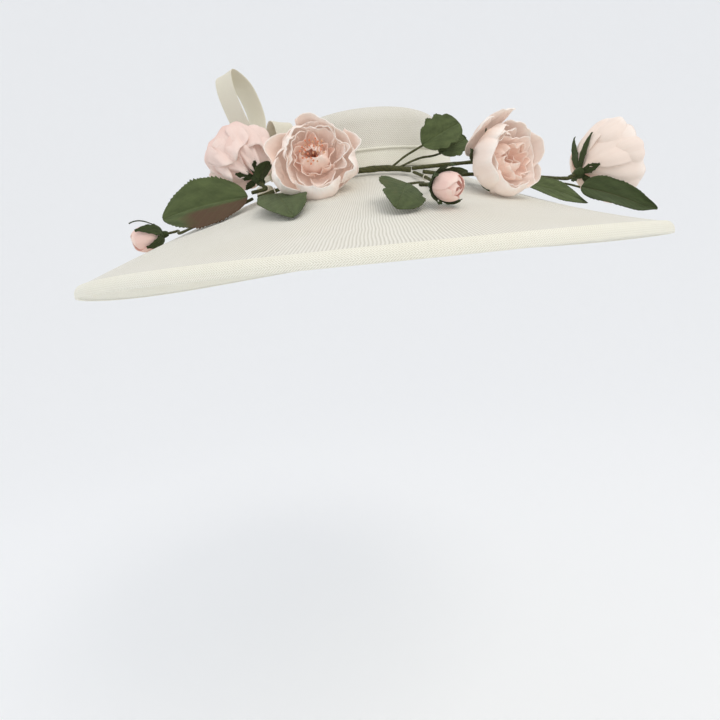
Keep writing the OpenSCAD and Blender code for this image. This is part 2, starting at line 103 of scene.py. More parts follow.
def ramp(tree, factor, stops):
    """Colour ramp between hex colours at the given places."""
    made = node(tree, "ValToRGB", in0=factor)
    points = made.color_ramp.elements
    while len(points) < len(stops):
        points.new(0.5)
    for point, (place, code) in zip(points, stops):
        point.position, point.color = place, linear(code)
    return made.outputs[0]


def blend_of(tree, factor, a, b, how="MIX"):
    """Mix of two colours: hex codes or sockets."""
    made = node(tree, "Mix", {"data_type": "RGBA", "blend_type": how}, in0=factor)
    for key, value in ((6, a), (7, b)):
        if isinstance(value, str):
            made.inputs[key].default_value = linear(value)
        else:
            tree.links.new(value, made.inputs[key])
    return made.outputs[2]


def mapped(tree, source, scale):
    return node(tree, "Mapping", Vector=source, Scale=scale).outputs[0]


def noise(tree, vector, scale, detail=3.0, rough=0.5):
    return node(tree, "TexNoise", Vector=vector, Scale=scale, Detail=detail, Roughness=rough).outputs[0]


def bump(tree, shader, height, distance, strength=1.0):
    made = node(tree, "Bump", Height=height, Strength=strength, Distance=distance * MM)
    tree.links.new(made.outputs[0], shader.inputs["Normal"])


floor_mat, tree, shader = material("seamless_paper")
fixed(shader, {"Base Color": linear("#FBFCFD"), "Roughness": 1.0, "Specular IOR Level": 0.0})
FLOOR_Z = -0.62
# A flat round floor that sweeps up all round in a quarter circle
sweep = [(0.01, 0.0), (0.7, 0.0), (1.4, 0.0)] + [
    (1.4 + 2.6 * math.sin(math.radians(a)), 2.6 - 2.6 * math.cos(math.radians(a))) for a in range(6, 91, 6)]
ring = np.radians(np.arange(0, 360, 5))
floor_points = [(radius * math.cos(a), radius * math.sin(a), FLOOR_Z + z)
                for radius, z in sweep for a in ring]
n = len(ring)
floor_faces = [(i * n + k, i * n + (k + 1) % n, (i + 1) * n + (k + 1) % n, (i + 1) * n + k)
               for i in range(len(sweep) - 1) for k in range(n)][::1]
floor_mesh = bpy.data.meshes.new("floor")
floor_mesh.from_pydata(floor_points, [], [face[::-1] for face in floor_faces] + [tuple(range(n))])
floor_mesh.polygons.foreach_set("use_smooth", np.ones(len(floor_mesh.polygons), bool))
floor = bpy.data.objects.new("floor", floor_mesh)
scene.collection.objects.link(floor)
floor_mesh.materials.append(floor_mat)

world = bpy.data.worlds.new("studio")
scene.world = world
world.use_nodes = True
world.node_tree.nodes["Background"].inputs["Color"].default_value = linear("#E9EAEC")
world.node_tree.nodes["Background"].inputs["Strength"].default_value = 1.01


def lamp(name, place, target, size, power, tint="#FFFFFF"):
    data = bpy.data.lights.new(name, "AREA")
    data.shape, data.size, data.energy, data.color = "SQUARE", size, power, linear(tint)[:3]
    made = bpy.data.objects.new(name, data)
    scene.collection.objects.link(made)
    made.location = place
    made.rotation_euler = (Vector(target) - Vector(place)).to_track_quat("-Z", "Y").to_euler()


lamp("key", (0.9, -1.1, 1.5), (0, -0.05, 0), 0.9, 9.0, "#FFF8EE")
lamp("side", (-1.6, -0.3, 0.6), (0, 0, 0), 1.2, 2.0, "#F4F8FF")

# ---- Surfaces ----


def smooth_curve(points, n):
    """Catmull-Rom curve through points, n pieces between neighbours."""
    p = np.asarray(points, float)
    padded = np.concatenate([p[:1], p, p[-1:]])
    u = (np.arange(n) / n)[:, None]
    a, b, c, d = padded[:-3], padded[1:-2], padded[2:-1], padded[3:]
    curve = [0.5 * (2 * b[i] + (c[i] - a[i]) * u + (2 * a[i] - 5 * b[i] + 4 * c[i] - d[i]) * u ** 2
                    + (3 * b[i] - a[i] - 3 * c[i] + d[i]) * u ** 3) for i in range(len(a))]
    return np.concatenate(curve + [p[-1:]])


def unit(v):
    return v / np.maximum(np.linalg.norm(v, axis=-1, keepdims=True), 1e-9)


def ease(x, low, high):
    """Smooth step from 0 at low to 1 at high."""
    x = np.clip((x - low) / (high - low), 0, 1)
    return x * x * (3 - 2 * x)


class Skin:
    """Grids of points in millimetres that make up one piece, each with its UV and tone."""

    def __init__(self):
        self.points, self.faces, self.uvs, self.tones, self.count = [], [], [], [], 0

    def add(self, p, uv, tone=0.5, closed=(False, False), flip=False, caps=False):
        """Grid p of n by m points. closed joins the last row or column to the first; caps fills
        the first and last row with a fan round its middle."""
        n, m = p.shape[:2]
        ids = np.arange(n * m).reshape(n, m) + self.count
        uv = np.broadcast_to(uv, (n, m, 2)).astype(float)
        rows = np.concatenate([ids, ids[:1]]) if closed[0] else ids
        grid = np.concatenate([rows, rows[:, :1]], 1) if closed[1] else rows
        quads = np.stack([grid[:-1, :-1], grid[1:, :-1], grid[1:, 1:], grid[:-1, 1:]], -1).reshape(-1, 4)
        cells_n, cells_m = grid.shape[0] - 1, grid.shape[1] - 1
        wide = uv
        if closed[0]:
            step = wide[1:2] - wide[0:1]
            wide = np.concatenate([wide, wide[-1:] + step])
        if closed[1]:
            step = wide[:, 1:2] - wide[:, 0:1]
            wide = np.concatenate([wide, wide[:, -1:] + step], 1)
        corner = np.stack([wide[:-1, :-1], wide[1:, :-1], wide[1:, 1:], wide[:-1, 1:]], 2)
        corner = corner[:cells_n, :cells_m].reshape(-1, 4, 2)
        if flip:
            quads, corner = quads[:, ::-1], corner[:, ::-1]
        self.points.append(p.reshape(-1, 3))
        self.faces += quads.tolist()
        self.uvs.append(corner.reshape(-1, 2))
        self.tones.append(np.broadcast_to(tone, (n, m)).reshape(-1).astype(float))
        self.count += n * m
        if caps:
            for row, turn in ((0, not flip), (n - 1, flip)):
                self.points.append(p[row].mean(0)[None])
                self.tones.append(np.array([np.mean(np.broadcast_to(tone, (n, m))[row])]))
                a, b = ids[row], np.roll(ids[row], -1)
                tris = np.stack([b, a, np.full(m, self.count)] if turn else
                                [a, b, np.full(m, self.count)], -1)
                self.faces += tris.tolist()
                self.uvs.append(np.tile(uv[row, 0], (3 * m, 1)))
                self.count += 1


def piece(name, skin, finish, body, stands_for, thick=0.0, offset=0.0):
    """Mesh piece from a Skin, given a thickness where it is a sheet, riding on a body."""
    mesh = bpy.data.meshes.new(name)
    points = np.concatenate(skin.points) * MM
    mesh.from_pydata(points.tolist(), [], skin.faces)
    layer = mesh.uv_layers.new(name="UVMap")
    layer.data.foreach_set("uv", np.concatenate(skin.uvs).astype(np.float32).ravel())
    tones = mesh.attributes.new("tone", "FLOAT", "POINT")
    tones.data.foreach_set("value", np.concatenate(skin.tones).astype(np.float32))
    mesh.polygons.foreach_set("use_smooth", np.ones(len(skin.faces), bool))
    mesh.materials.append(finish)
    mesh.update()
    made = bpy.data.objects.new(name, mesh)
    scene.collection.objects.link(made)
    if thick:
        wall = made.modifiers.new("thickness", "SOLIDIFY")
        wall.thickness, wall.offset, wall.use_even_offset = thick * MM, offset, False
    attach(made, body)
    if stands_for:
        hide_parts(*stands_for)
    return made


# ---- Sizes shared with the solid model, in millimetres ----

low, high = (np.array(c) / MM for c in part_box("edge_fold"))
BRIM_R = (high[0] - low[0]) / 2
BRIM_OFFSET = -(high[0] + low[0]) / 2
low, high = (np.array(c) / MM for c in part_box("crown"))
HEAD_X, HEAD_Y, CROWN_H = high[0], high[1], high[2]
COLLAR_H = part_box("brim")[1][2] / MM
BAND_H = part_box("crown_band")[1][2] / MM
STRAW, STRIP, SEAM = 1.2, 0.8, 0.15
BRIM_FALL, BRIM_SAG, BRIM_SAG_SIDE = 75.5, 2.0, 5.4
EDGE_WAVE, EDGE_WAVE_AT, EDGE_RIPPLE, EDGE_RIPPLE_AT = 4.3, 170, 2.1, -26
LIP_R, LIP_DROP, LIP_START = 6.0, 3.0, math.radians(67)
CROWN_TAPER, CROWN_CORNER, CROWN_DOME = 6.0, 16.0, 8.0
RIBBON, RIBBON_H = 0.7, 24.0
BOW_W, BOW_TALL_H, BOW_SHORT_H = 20.0, 84.0, 50.0
STEM_D, STALK_D, BUNDLE_D, BEND_GAP, REST_GAP = 3.0, 1.6, 4.4, 1.0, 0.3
LEAF_T = 0.8
ROSE_R = {"left": 27.0, "front": 27.5, "right": 24.5, "end": 29.0}
BUD_R = {"front": 9.0, "left": 11.5}
ROSE_HIP_H, BUD_HIP_H, BUD_LONG = 7.0, 4.0, 1.15
AROUND = 360

LIP_START_R = BRIM_R - STRIP - SEAM - STRAW / 2 - LIP_R + LIP_R * math.cos(LIP_START)
LIP_START_Z = -BRIM_FALL + LIP_DROP + LIP_R * math.sin(LIP_START)
SHOULDER_H = CROWN_H - CROWN_DOME - CROWN_CORNER
CROWN_FOOT = STRAW / 2 + 2


def cosd(a):
    return np.cos(np.radians(a))


def sind(a):
    return np.sin(np.radians(a))


def inner_at(t):
    return np.stack([HEAD_X * cosd(t), HEAD_Y * sind(t)], -1)


def outer_at(t):
    return np.stack([-BRIM_OFFSET + LIP_START_R * cosd(t), LIP_START_R * sind(t)], -1)


def span(t):
    return np.linalg.norm(outer_at(t) - inner_at(t), axis=-1)


def wave(t):
    return EDGE_RIPPLE * cosd(3 * (t - EDGE_RIPPLE_AT)) - EDGE_WAVE * cosd(2 * (t - EDGE_WAVE_AT))


def brim_z(t, s):
    """Height of the brim's middle: a cone that sags, with waves that grow towards the edge."""
    sag = BRIM_SAG + BRIM_SAG_SIDE * cosd(t)
    return LIP_START_Z * s - 4 * sag * s * (1 - s) + wave(t) * s * s


def over_brim(place):
    """Points at [direction, distance out from the crown's foot, height over the brim]."""
    place = np.asarray(place, float)
    t, out, lift = place[..., 0], place[..., 1], place[..., 2]
    q = inner_at(t) + unit(outer_at(t) - inner_at(t)) * out[..., None]
    return np.stack([q[..., 0], q[..., 1], brim_z(t, out / span(t)) + STRAW / 2 + lift], -1)


def lean(z):
    return CROWN_TAPER * np.maximum(0, z - CROWN_FOOT) / (SHOULDER_H - CROWN_FOOT)


# ---- Straw ----


def straw_cloth(name, light, shade, rib, bend, row, depth, warm="#E9E4CF", gloss=0.62):
    """Woven straw: fine ribs rib mm apart that run along v and lean to and fro as v grows by
    row mm, so the eye sees a twill whose slant turns back at every row."""
    made, tree, shader = material(name)
    uv = node(tree, "UVMap", {"uv_map": "UVMap"}).outputs[0]
    split = node(tree, "SeparateXYZ", in0=uv)
    u, v = split.outputs[0], split.outputs[1]
    turns = math_of(tree, "PINGPONG", v, row)
    slant = math_of(tree, "MULTIPLY", turns, bend / row)
    loose = noise(tree, mapped(tree, uv, (0.05, 0.05, 1)), 1.0, 2.0)
    drift = math_of(tree, "MULTIPLY_ADD", loose, 1.6, 0.0)
    across = math_of(tree, "ADD", math_of(tree, "ADD", u, slant), drift)
    ribs = math_of(tree, "SINE", math_of(tree, "MULTIPLY", across, 2 * math.pi / rib))
    wefts = math_of(tree, "SINE", math_of(tree, "MULTIPLY", v, 2 * math.pi / (rib * 0.8)))
    height = math_of(tree, "MULTIPLY_ADD", ribs, 0.38, math_of(tree, "MULTIPLY_ADD", wefts, 0.12, 0.5))
    fibre = noise(tree, mapped(tree, uv, (1.1, 0.12, 1)), 1.0, 4.0, 0.65)
    cloud = noise(tree, mapped(tree, uv, (0.018, 0.018, 1)), 1.0, 2.0)
    # The ribs' tops are painted lighter and the grooves between them darker: painted shade, with the fibre noise as
    # the straw's own grain
    tone = math_of(tree, "MULTIPLY_ADD", fibre, 0.35, math_of(tree, "MULTIPLY", height, 0.75))
    colour = ramp(tree, tone, [(0.2, shade), (0.72, light)])
    colour = blend_of(tree, math_of(tree, "MULTIPLY", cloud, 0.45), colour, warm, "MULTIPLY")
    tree.links.new(colour, shader.inputs["Base Color"])
    fixed(shader, {"Roughness": gloss, "Sheen Weight": 0.12, "Sheen Roughness": 0.5,
                   "Specular IOR Level": 0.35})
    bump(tree, shader, height, depth, 0.8)
    return made


# Parisisal straw, woven from fine sisal thread in a twill: a matt cream cloth of faint ribs.
# The real rib is about 1 mm, and is drawn at 1.9 mm so that it shows.
woven_straw = straw_cloth("woven_sisal_straw", "#F4F2EA", "#D3D0C4", 1.9, 0.35, 14.0, 0.22, "#ECE8DA")
# The same straw cut on the bias and folded over the edge, its twill at a slant. It is painted brighter than the
# brim: painted light for the light on the rounded fold.
folded_straw = straw_cloth("folded_straw_strip", "#FFFDF2", "#E4E0CF", 1.7, 5.5, 4.2, 0.25, "#FAF7E8")
# The crown is blocked from denser straw, a little greyer, with a clear herringbone.
crown_straw = straw_cloth("herringbone_sisal_straw", "#F2EFE6", "#C9C5B7", 1.8, 4.0, 3.6, 0.25, "#EFEBDE")
# The bow's straw is folded strip that has yellowed to a warm stone colour.
bow_straw = straw_cloth("folded_bow_straw", "#F3EFE1", "#D6D0BD", 1.1, 1.4, 2.6, 0.14, "#F0EAD8")

angles = np.arange(AROUND) * 360 / AROUND
COLLAR_IN = -STRAW - SEAM - STRAW / 2


def moved(profile, e):
    """Profiles (n, m, 2) moved square to themselves by e, up and out for a positive e."""
    along = np.concatenate([profile[:, 1:2] - profile[:, :1], profile[:, 2:] - profile[:, :-2],
                            profile[:, -1:] - profile[:, -2:-1]], 1)
    along = unit(along)
    return profile + np.asarray(e)[..., None] * np.stack([-along[..., 1], along[..., 0]], -1)


def stand(profile, t):
    """Profiles of [distance out, height] stood up in the directions t."""
    u = unit(outer_at(t) - inner_at(t))[:, None]
    flat = inner_at(t)[:, None] + u * profile[..., :1]
    return np.concatenate([flat, profile[..., 1:]], -1)


def sheet_profile(t, sheet_steps=28, arc=(66, 0), arc_steps=12, start=0.0):
    """Collar, then the brim out to the lip, then the lip's arc and its straight edge."""
    s = np.linspace(0, 1, sheet_steps + 1)[None]
    sheet = np.stack([s * span(t)[:, None], brim_z(t[:, None], s)], -1)
    a = np.linspace(arc[0], arc[1], arc_steps)[None]
    first, mid = span(t)[:, None] - LIP_R * math.cos(LIP_START), LIP_DROP - BRIM_FALL + wave(t)[:, None]
    lip = np.stack([first + LIP_R * cosd(a), mid + LIP_R * sind(a)], -1)
    end = np.stack([first + LIP_R, mid - LIP_DROP + STRIP + SEAM], -1)
    collar_z = COLLAR_H + np.array([0, -4, -8, 0])
    collar_z[-1] = CROWN_FOOT
    collar = np.stack([COLLAR_IN - lean(collar_z), collar_z], -1)
    collar = np.concatenate([collar, [[COLLAR_IN + 0.1, 1.7], [COLLAR_IN + 0.6, 0.9]]])
    collar = np.broadcast_to(collar, (len(t),) + collar.shape)
    return collar, sheet[:, 0:] if start == 0 else sheet, lip, end


def uv_of(p, turn_length):
    """UV in mm: round the hat by angle, and along the profile by its length."""
    steps = np.linalg.norm(np.diff(p, axis=1), axis=-1)
    v = np.concatenate([np.zeros((len(p), 1)), np.cumsum(steps, 1)], 1).mean(0)
    u = np.arange(len(p)) / len(p) * turn_length
    return np.stack(np.broadcast_arrays(u[:, None], v[None]), -1)


def ring_piece(name, profile, body, stands_for, finish, turn_length, t=angles):
    skin = Skin()
    p = stand(profile, t)
    skin.add(p, uv_of(p, turn_length), closed=(True, True))
    return piece(name, skin, finish, body, stands_for)


collar, sheet, lip, end = sheet_profile(angles)
middle = np.concatenate([collar, sheet[:, 0:], lip[:, 1:], end], 1)
half = np.full(middle.shape[:2], STRAW / 2)
brim_profile = np.concatenate([moved(middle, half), moved(middle, -half)[:, ::-1]], 1)
ring_piece("brim_straw", brim_profile[:, ::-1], "hat", ["brim"], woven_straw, 2 * math.pi * 215)

# The cover of the lip starts just above the arc as a thin feathered edge and rounds the brim's end
arc = np.linspace(64, 0, 14)[None]
lip_first = span(angles)[:, None] - LIP_R * math.cos(LIP_START)
lip_mid = LIP_DROP - BRIM_FALL + wave(angles)[:, None]
face = np.stack([lip_first + LIP_R * cosd(arc), lip_mid + LIP_R * sind(arc)], -1)
face = np.concatenate([face, end + [0, 0.0]], 1)
near, far = STRAW / 2 + SEAM, STRAW / 2 + SEAM + STRIP
outer = moved(face, np.concatenate([[near + 0.25, near + 0.6], np.full(face.shape[1] - 2, far)])[None]
              * np.ones((AROUND, 1)))
inner = moved(face, np.full(face.shape[:2], near))
inside_near = moved(face, np.full(face.shape[:2], -near))
inside_far = moved(face, np.full(face.shape[:2], -far))
turn = np.linspace(0, 180, 9)[1:-1][None]
foot = end + [0, -SEAM]
round_out = np.concatenate([foot + np.stack([far * cosd(turn), -STRIP * sind(turn)], -1)], 1)
fold_profile = np.concatenate([outer, round_out, inside_far[:, :9:-1], inside_near[:, 10:],
                               foot + [[[-near, 0]]], foot + [[[near, 0]]], inner[:, ::-1]], 1)
# Its inner edge is turned in over the wire and sewn flat to the underside of the brim
share = np.linspace(0, 1, 7)[None, :, None]
under, low_edge = sheet[:, 25:26] - [0, STRAW / 2 + 0.1], foot + [[[-near - 0.3, 0.2]]]
lining = under + (low_edge - under) * share
lining = np.concatenate([lining, (lining - [0, 0.6])[:, ::-1]], 1)
skin = Skin()
for profile in (fold_profile, lining):
    p = stand(profile[:, ::-1], angles)
    skin.add(p, uv_of(p, 2 * math.pi * BRIM_R), closed=(True, True))
piece("folded_edge", skin, folded_straw, "hat", ["edge_fold"])


def oval(e, z, q=1.0):
    """Oval rings round the crown moved out by e, at height z, shrunk to q."""
    e, z, q = (np.asarray(a, float) * np.ones(1) for a in (e, z, q))
    x = (HEAD_X + e) * q * cosd(angles)[:, None]
    y = (HEAD_Y + e) * q * sind(angles)[:, None]
    return np.stack(np.broadcast_arrays(x, y, z[None] + 0 * x), -1)


def crown_side(e):
    """Crown's outer profile moved out by e: side, rounded corner, domed top."""
    z = np.linspace(CROWN_FOOT, SHOULDER_H, 14)
    a = np.linspace(0, 90, 14)[1:]
    q = np.linspace(1, 0.02, 22)[1:] ** 1.0
    inset = np.concatenate([lean(z), CROWN_TAPER + CROWN_CORNER - CROWN_CORNER * cosd(a) - e * (cosd(a) - 1),
                            np.full(len(q), CROWN_TAPER + CROWN_CORNER)])
    height = np.concatenate([z, SHOULDER_H + (CROWN_CORNER + e) * sind(a), CROWN_H - CROWN_DOME * q * q + e])
    share = np.concatenate([np.ones(len(z) + len(a)), q])
    return oval(e - inset, height, share)


skin = Skin()
shell = np.concatenate([crown_side(0.0), crown_side(-STRAW)[:, ::-1]], 1)
skin.add(shell, uv_of(shell, 2 * math.pi * 88), closed=(True, True), flip=False)
piece("blocked_crown", skin, crown_straw, "hat", ["crown"])

# Folded strip round the crown: a flat band whose top edge is a round fold
turn = np.linspace(-60, 240, 12)
low_z, fold_r = STRAW / 2 + REST_GAP, 1.15
body_z = np.linspace(low_z, BAND_H - 2 * fold_r, 8)
band = np.concatenate([oval(SEAM + STRIP - lean(body_z), body_z),
                       oval(SEAM + STRIP / 2 + 0.1 + fold_r * cosd(turn) - lean(BAND_H - fold_r) + 0.3,
                            BAND_H - fold_r + fold_r * sind(turn)),
                       oval(SEAM - lean(body_z), body_z)[:, ::-1]], 1)
skin = Skin()
skin.add(band, uv_of(band, 2 * math.pi * 88), closed=(True, True))
piece("crown_band_strip", skin, folded_straw, "hat", ["crown_band"])

# Grosgrain ribbon of ribbed cotton: upright cords, each about 1 mm, under a soft sheen
grosgrain, tree, shader = material("ribbed_cotton_ribbon")
uv = node(tree, "UVMap", {"uv_map": "UVMap"}).outputs[0]
u = node(tree, "SeparateXYZ", in0=uv).outputs[0]
cords = math_of(tree, "MULTIPLY_ADD", math_of(tree, "SINE", math_of(tree, "MULTIPLY", u, 2 * math.pi / 1.1)),
                0.5, 0.5)
thread = noise(tree, mapped(tree, uv, (0.4, 3, 1)), 1.0, 3.0)
# The grooves between the cords are painted darker: painted shade, with the thread noise as the ribbon's own uneven
# tone
colour = ramp(tree, math_of(tree, "MULTIPLY_ADD", cords, 0.7, math_of(tree, "MULTIPLY", thread, 0.3)),
              [(0.1, "#CFC3AB"), (0.8, "#F1E8D6")])
tree.links.new(colour, shader.inputs["Base Color"])
fixed(shader, {"Roughness": 0.7, "Sheen Weight": 0.2})
bump(tree, shader, cords, 0.2)

RIBBON_OUT = COLLAR_IN - STRAW / 2 - SEAM
z = np.linspace(-1, RIBBON_H - 1, 16)
strip = np.concatenate([oval(RIBBON_OUT - lean(z), z), oval(RIBBON_OUT - RIBBON - lean(z), z)[:, ::-1]], 1)
skin = Skin()
skin.add(strip, uv_of(strip, 2 * math.pi * 86), closed=(True, True))
piece("head_ribbon_cotton", skin, grosgrain, "hat", ["head_ribbon"])

# ---- Bow ----


def turn_about(axis, degrees):
    return np.array(Matrix.Rotation(math.radians(degrees), 3, axis))


def strap(name, path, place, shift, tilt, stands_for, taper):
    """Folded straw strip along a path in its own upright plane: its cross-section is a flat oval
    whose long side lies square to the path, cupped a little, and tapered towards the knot."""
    line = smooth_curve(path, 12)
    along = unit(np.gradient(line, axis=0))
    out = np.stack([-along[:, 1], along[:, 0]], -1)
    a = np.linspace(0, 360, 28, endpoint=False)[None]
    n = np.linspace(0, 1, len(line))[:, None]
    width = BOW_W / 2 * (1 - taper * (1 - np.sin(np.pi * np.clip(n, 0.02, 0.98)) ** 0.6))
    flat = np.sign(cosd(a)) * np.abs(cosd(a)) ** 0.55
    y = width * flat
    thick = (STRIP * 0.95) * np.sign(sind(a)) * np.abs(sind(a)) ** 0.8
    cup = 0.9 * (flat ** 2 - 0.4) * np.sin(np.pi * n)
    off = thick + cup
    p = np.stack([line[:, 0, None] + out[:, 0, None] * off, y + 0 * off,
                  line[:, 1, None] + out[:, 1, None] * off], -1)
    p = p @ tilt.T + shift
    p = p @ turn_about("Z", place).T + bow_root
    length = np.concatenate([[0], np.cumsum(np.linalg.norm(np.diff(line, axis=0), axis=1))])
    uv = np.stack(np.broadcast_arrays(width * flat, length[:, None]), -1)
    skin = Skin()
    skin.add(p, uv, closed=(False, True), caps=True, flip=True)
    piece(name, skin, bow_straw, "hat", stands_for)


bow_root = over_brim([201, 20, 7])
tall = np.array([[2, -0.12], [2, 0], [1, 0.26], [-7, 0.58], [-10.2, 0.85], [-4.5, 1], [13, 0.87], [18.5, 0.56],
                 [9.5, 0.27], [7.5, 0], [6.5, -0.11]]) * [1, BOW_TALL_H]
short = np.array([[0, 0.22], [4, 0.42], [10, 0.7], [16, 0.92], [21, 1], [26, 0.92], [27, 0.7], [19, 0.36],
                  [9, 0.08]]) * [1, BOW_SHORT_H]
strap("bow_tall_loop", tall, 58, [-2.3, 1.9, 16.4], turn_about("Y", -4.5) @ turn_about("X", -8.2),
      ["bow_tall"], 0.1)
strap("bow_short_loop", short, -46, [12, 1, 0], np.eye(3), ["bow_short"], 0.25)

a = np.linspace(0, 360, 48, endpoint=False)[None]
n = np.linspace(-1, 1, 25)[:, None]
knot_r = 4.2 * (1 - 0.35 * n ** 6) * (1 + 0.05 * cosd(3 * a + 60 * n) + 0.025 * sind(7 * a))
knot = np.stack([knot_r * cosd(a), BOW_W * 0.4 * n + 0 * a, knot_r * sind(a)], -1)
skin = Skin()
skin.add(knot @ turn_about("Z", 58).T + bow_root,
         np.stack(np.broadcast_arrays(a / 360 * 26.0, n * BOW_W * 0.4), -1), closed=(False, True), caps=True)
piece("bow_knot_straw", skin, bow_straw, "hat", ["bow_knot"])

# ---- Silk ----


def silk(name, base, body, rim, deep):
    """Stiffened silk, dyed from its root and paler at the rim, pressed into fine fanned creases.
    The eye sees a soft matt bloom, almost white at the edges, with warm painted shade in the folds and creases."""
    made, tree, shader = material(name)
    uv = node(tree, "UVMap", {"uv_map": "UVMap"}).outputs[0]
    split = node(tree, "SeparateXYZ", in0=uv)
    v = split.outputs[1]
    tone = node(tree, "Attribute", {"attribute_name": "tone"}).outputs["Fac"]
    blot = noise(tree, mapped(tree, uv, (2.5, 2.0, 1)), 1.0, 3.0)
    where = math_of(tree, "ADD", v, math_of(tree, "MULTIPLY_ADD", blot, 0.3, -0.15))
    colour = ramp(tree, where, [(0.0, base), (0.35, body), (0.8, body), (1.0, rim)])
    # Painted shade: the lower the tone, the more of the deep colour is mixed in, so folds, crease valleys and inner
    # petals are painted darker
    fold = math_of(tree, "MULTIPLY_ADD", tone, -1.0, 1.0)
    colour = blend_of(tree, math_of(tree, "MULTIPLY", fold, 0.4), colour, deep)
    crease = noise(tree, mapped(tree, uv, (26, 2.2, 1)), 1.0, 3.0, 0.55)
    weave = noise(tree, mapped(tree, uv, (150, 150, 1)), 1.0, 1.0)
    # Painted shade along the fine creases: the crease noise mixes in the deep colour as well as raising the bump
    colour = blend_of(tree, math_of(tree, "MULTIPLY_ADD", crease, 0.5, -0.16), colour, deep)
    tree.links.new(colour, shader.inputs["Base Color"])
    # Light soaks through the thin silk from behind; a faint glow of its own colour stands for that
    tree.links.new(colour, shader.inputs["Emission Color"])
    fixed(shader, {"Emission Strength": 0.09, "Roughness": 0.72, "Sheen Weight": 0.35,
                   "Sheen Roughness": 0.4, "Sheen Tint": linear("#FFF1EA"), "Specular IOR Level": 0.3})
    height = math_of(tree, "MULTIPLY_ADD", weave, 0.12, crease)
    bump(tree, shader, height, 0.3, 0.6)
    return made


# Colours of each silk: root, body, rim, and deep, the colour of its painted shade
silk_blush = silk("blush_silk", "#F2DACC", "#F5E6DC", "#FCF6EF", "#F0D7C9")
silk_mauve = silk("mauve_pink_silk", "#E9CBC1", "#EED8CF", "#F6E8E0", "#E3C0B4")
silk_cream = silk("pale_blush_silk", "#EBD4C6", "#EEDFD4", "#F6EEE6", "#E8CDBE")
silk_peach = silk("peach_silk", "#F1C9B5", "#F4DACC", "#FBEDE2", "#F0CDBB")
silk_bud = silk("bud_silk", "#F7EADD", "#F1D3C9", "#F8E8DC", "#E8B9AE")


def facing(place, bearing, rise):
    """Turn and middle of a flower whose +Z looks along the bearing."""
    return turn_about("Z", bearing) @ turn_about("Y", 90 - rise), over_brim(place)


def petal(skin, frame_of, at, wide, start, stop, r, long=1.0, out=0.0, up=0.0, curl=0.0, ruffle=0.6,
          waves=1.6, crumple=0.7, tone=0.6, tip=0.4, spiral=1.2, pinch=0.4, point=0.0, push=(0, 0, 0),
          seed=0, steps=(34, 30)):
    """One petal as a patch of a ball of radius r, stretched long along the flower's axis.

    at is the petal's direction round the axis and wide its half angle; it runs from start to
    stop degrees away from the ball's back pole. out moves the ball sideways along at and up
    forwards, which makes a cup of its own beside the axis. The outline widens from pinch of its
    width at the root, and its rim is an arch that falls by tip at the sides; point narrows it
    to a tip. One side lies spiral further out than the other, so neighbours overlap. curl rolls
    the rim out (or in, where it is negative), ruffle waves it slowly, and crumple adds soft
    creases that fan out from the root. All lengths are in millimetres."""
    draw = np.random.default_rng(1000 + seed)
    turn, middle = frame_of
    u = np.linspace(-1, 1, steps[0])[:, None]
    v = np.linspace(0, 1, steps[1])[None]
    phase = draw.uniform(0, 2 * math.pi, 8)
    reach = v * (1 - tip * np.abs(u) ** 2.8 - 0.05 * np.sin(2.6 * u + phase[0])
                 - 0.03 * np.sin(6.5 * u + phase[1]))
    width = pinch + (1 - pinch) * np.sin(np.pi / 2 * np.clip(v / 0.5, 0, 1))
    width = width * (1 - point * 0.9 * ease(v, 0.35, 1.0))
    rim = ease(reach, 0.6, 1.0)
    around = at + wide * u * width + 5 * np.sin(2.2 * reach + phase[2]) * reach
    a = start + (stop - start) * reach
    fan = (np.sin(4 * u + phase[3] + 1.2 * reach) * 0.8 + np.abs(np.sin(6.5 * u + phase[4] - 0.8 * reach)) * 0.9
           + np.abs(np.sin(11 * u + phase[5] + 2 * reach)) * 0.35 * reach - 0.7) * ease(reach, 0.1, 0.7)
    dent = np.sin(2.3 * u - 3.5 * reach + phase[6])
    radius = r + crumple * (fan + 0.8 * dent) + spiral * u * ease(reach, 0.1, 0.6) \
        + ruffle * 1.2 * ease(reach, 0.45, 1) * np.sin(waves * 2.2 * u + phase[7]) + curl * rim ** 1.4
    a = a - np.degrees(np.abs(curl) * 0.45 * ease(reach, 0.8, 1.0) ** 2 / r)
    p = np.stack([radius * sind(a) * cosd(around), radius * sind(a) * sind(around),
                  -radius * long * cosd(a)], -1)
    p = p + np.array([out * math.cos(math.radians(at)), out * math.sin(math.radians(at)), up]) \
        + np.asarray(push, float)
    uv = np.stack(np.broadcast_arrays(u * 0.5 + 0.5 + 3.1 * seed, np.clip(reach, 0, 1)), -1)
    # Painted shade: the tone drops in the crease valleys of the crumple, and each petal's tone sets how much
    # painted shade its silk takes; the small random part is the silk's own uneven tone
    shade = np.clip(tone + draw.uniform(-0.08, 0.08) + 0.12 * np.tanh(fan), 0, 1)
    skin.add(p @ turn.T + middle, uv, shade)


def nest(r, share, long):
    """Distance that a nested cup stands forward of the ball around it."""
    return -(r - 1.2) + r * share * long + REST_GAP


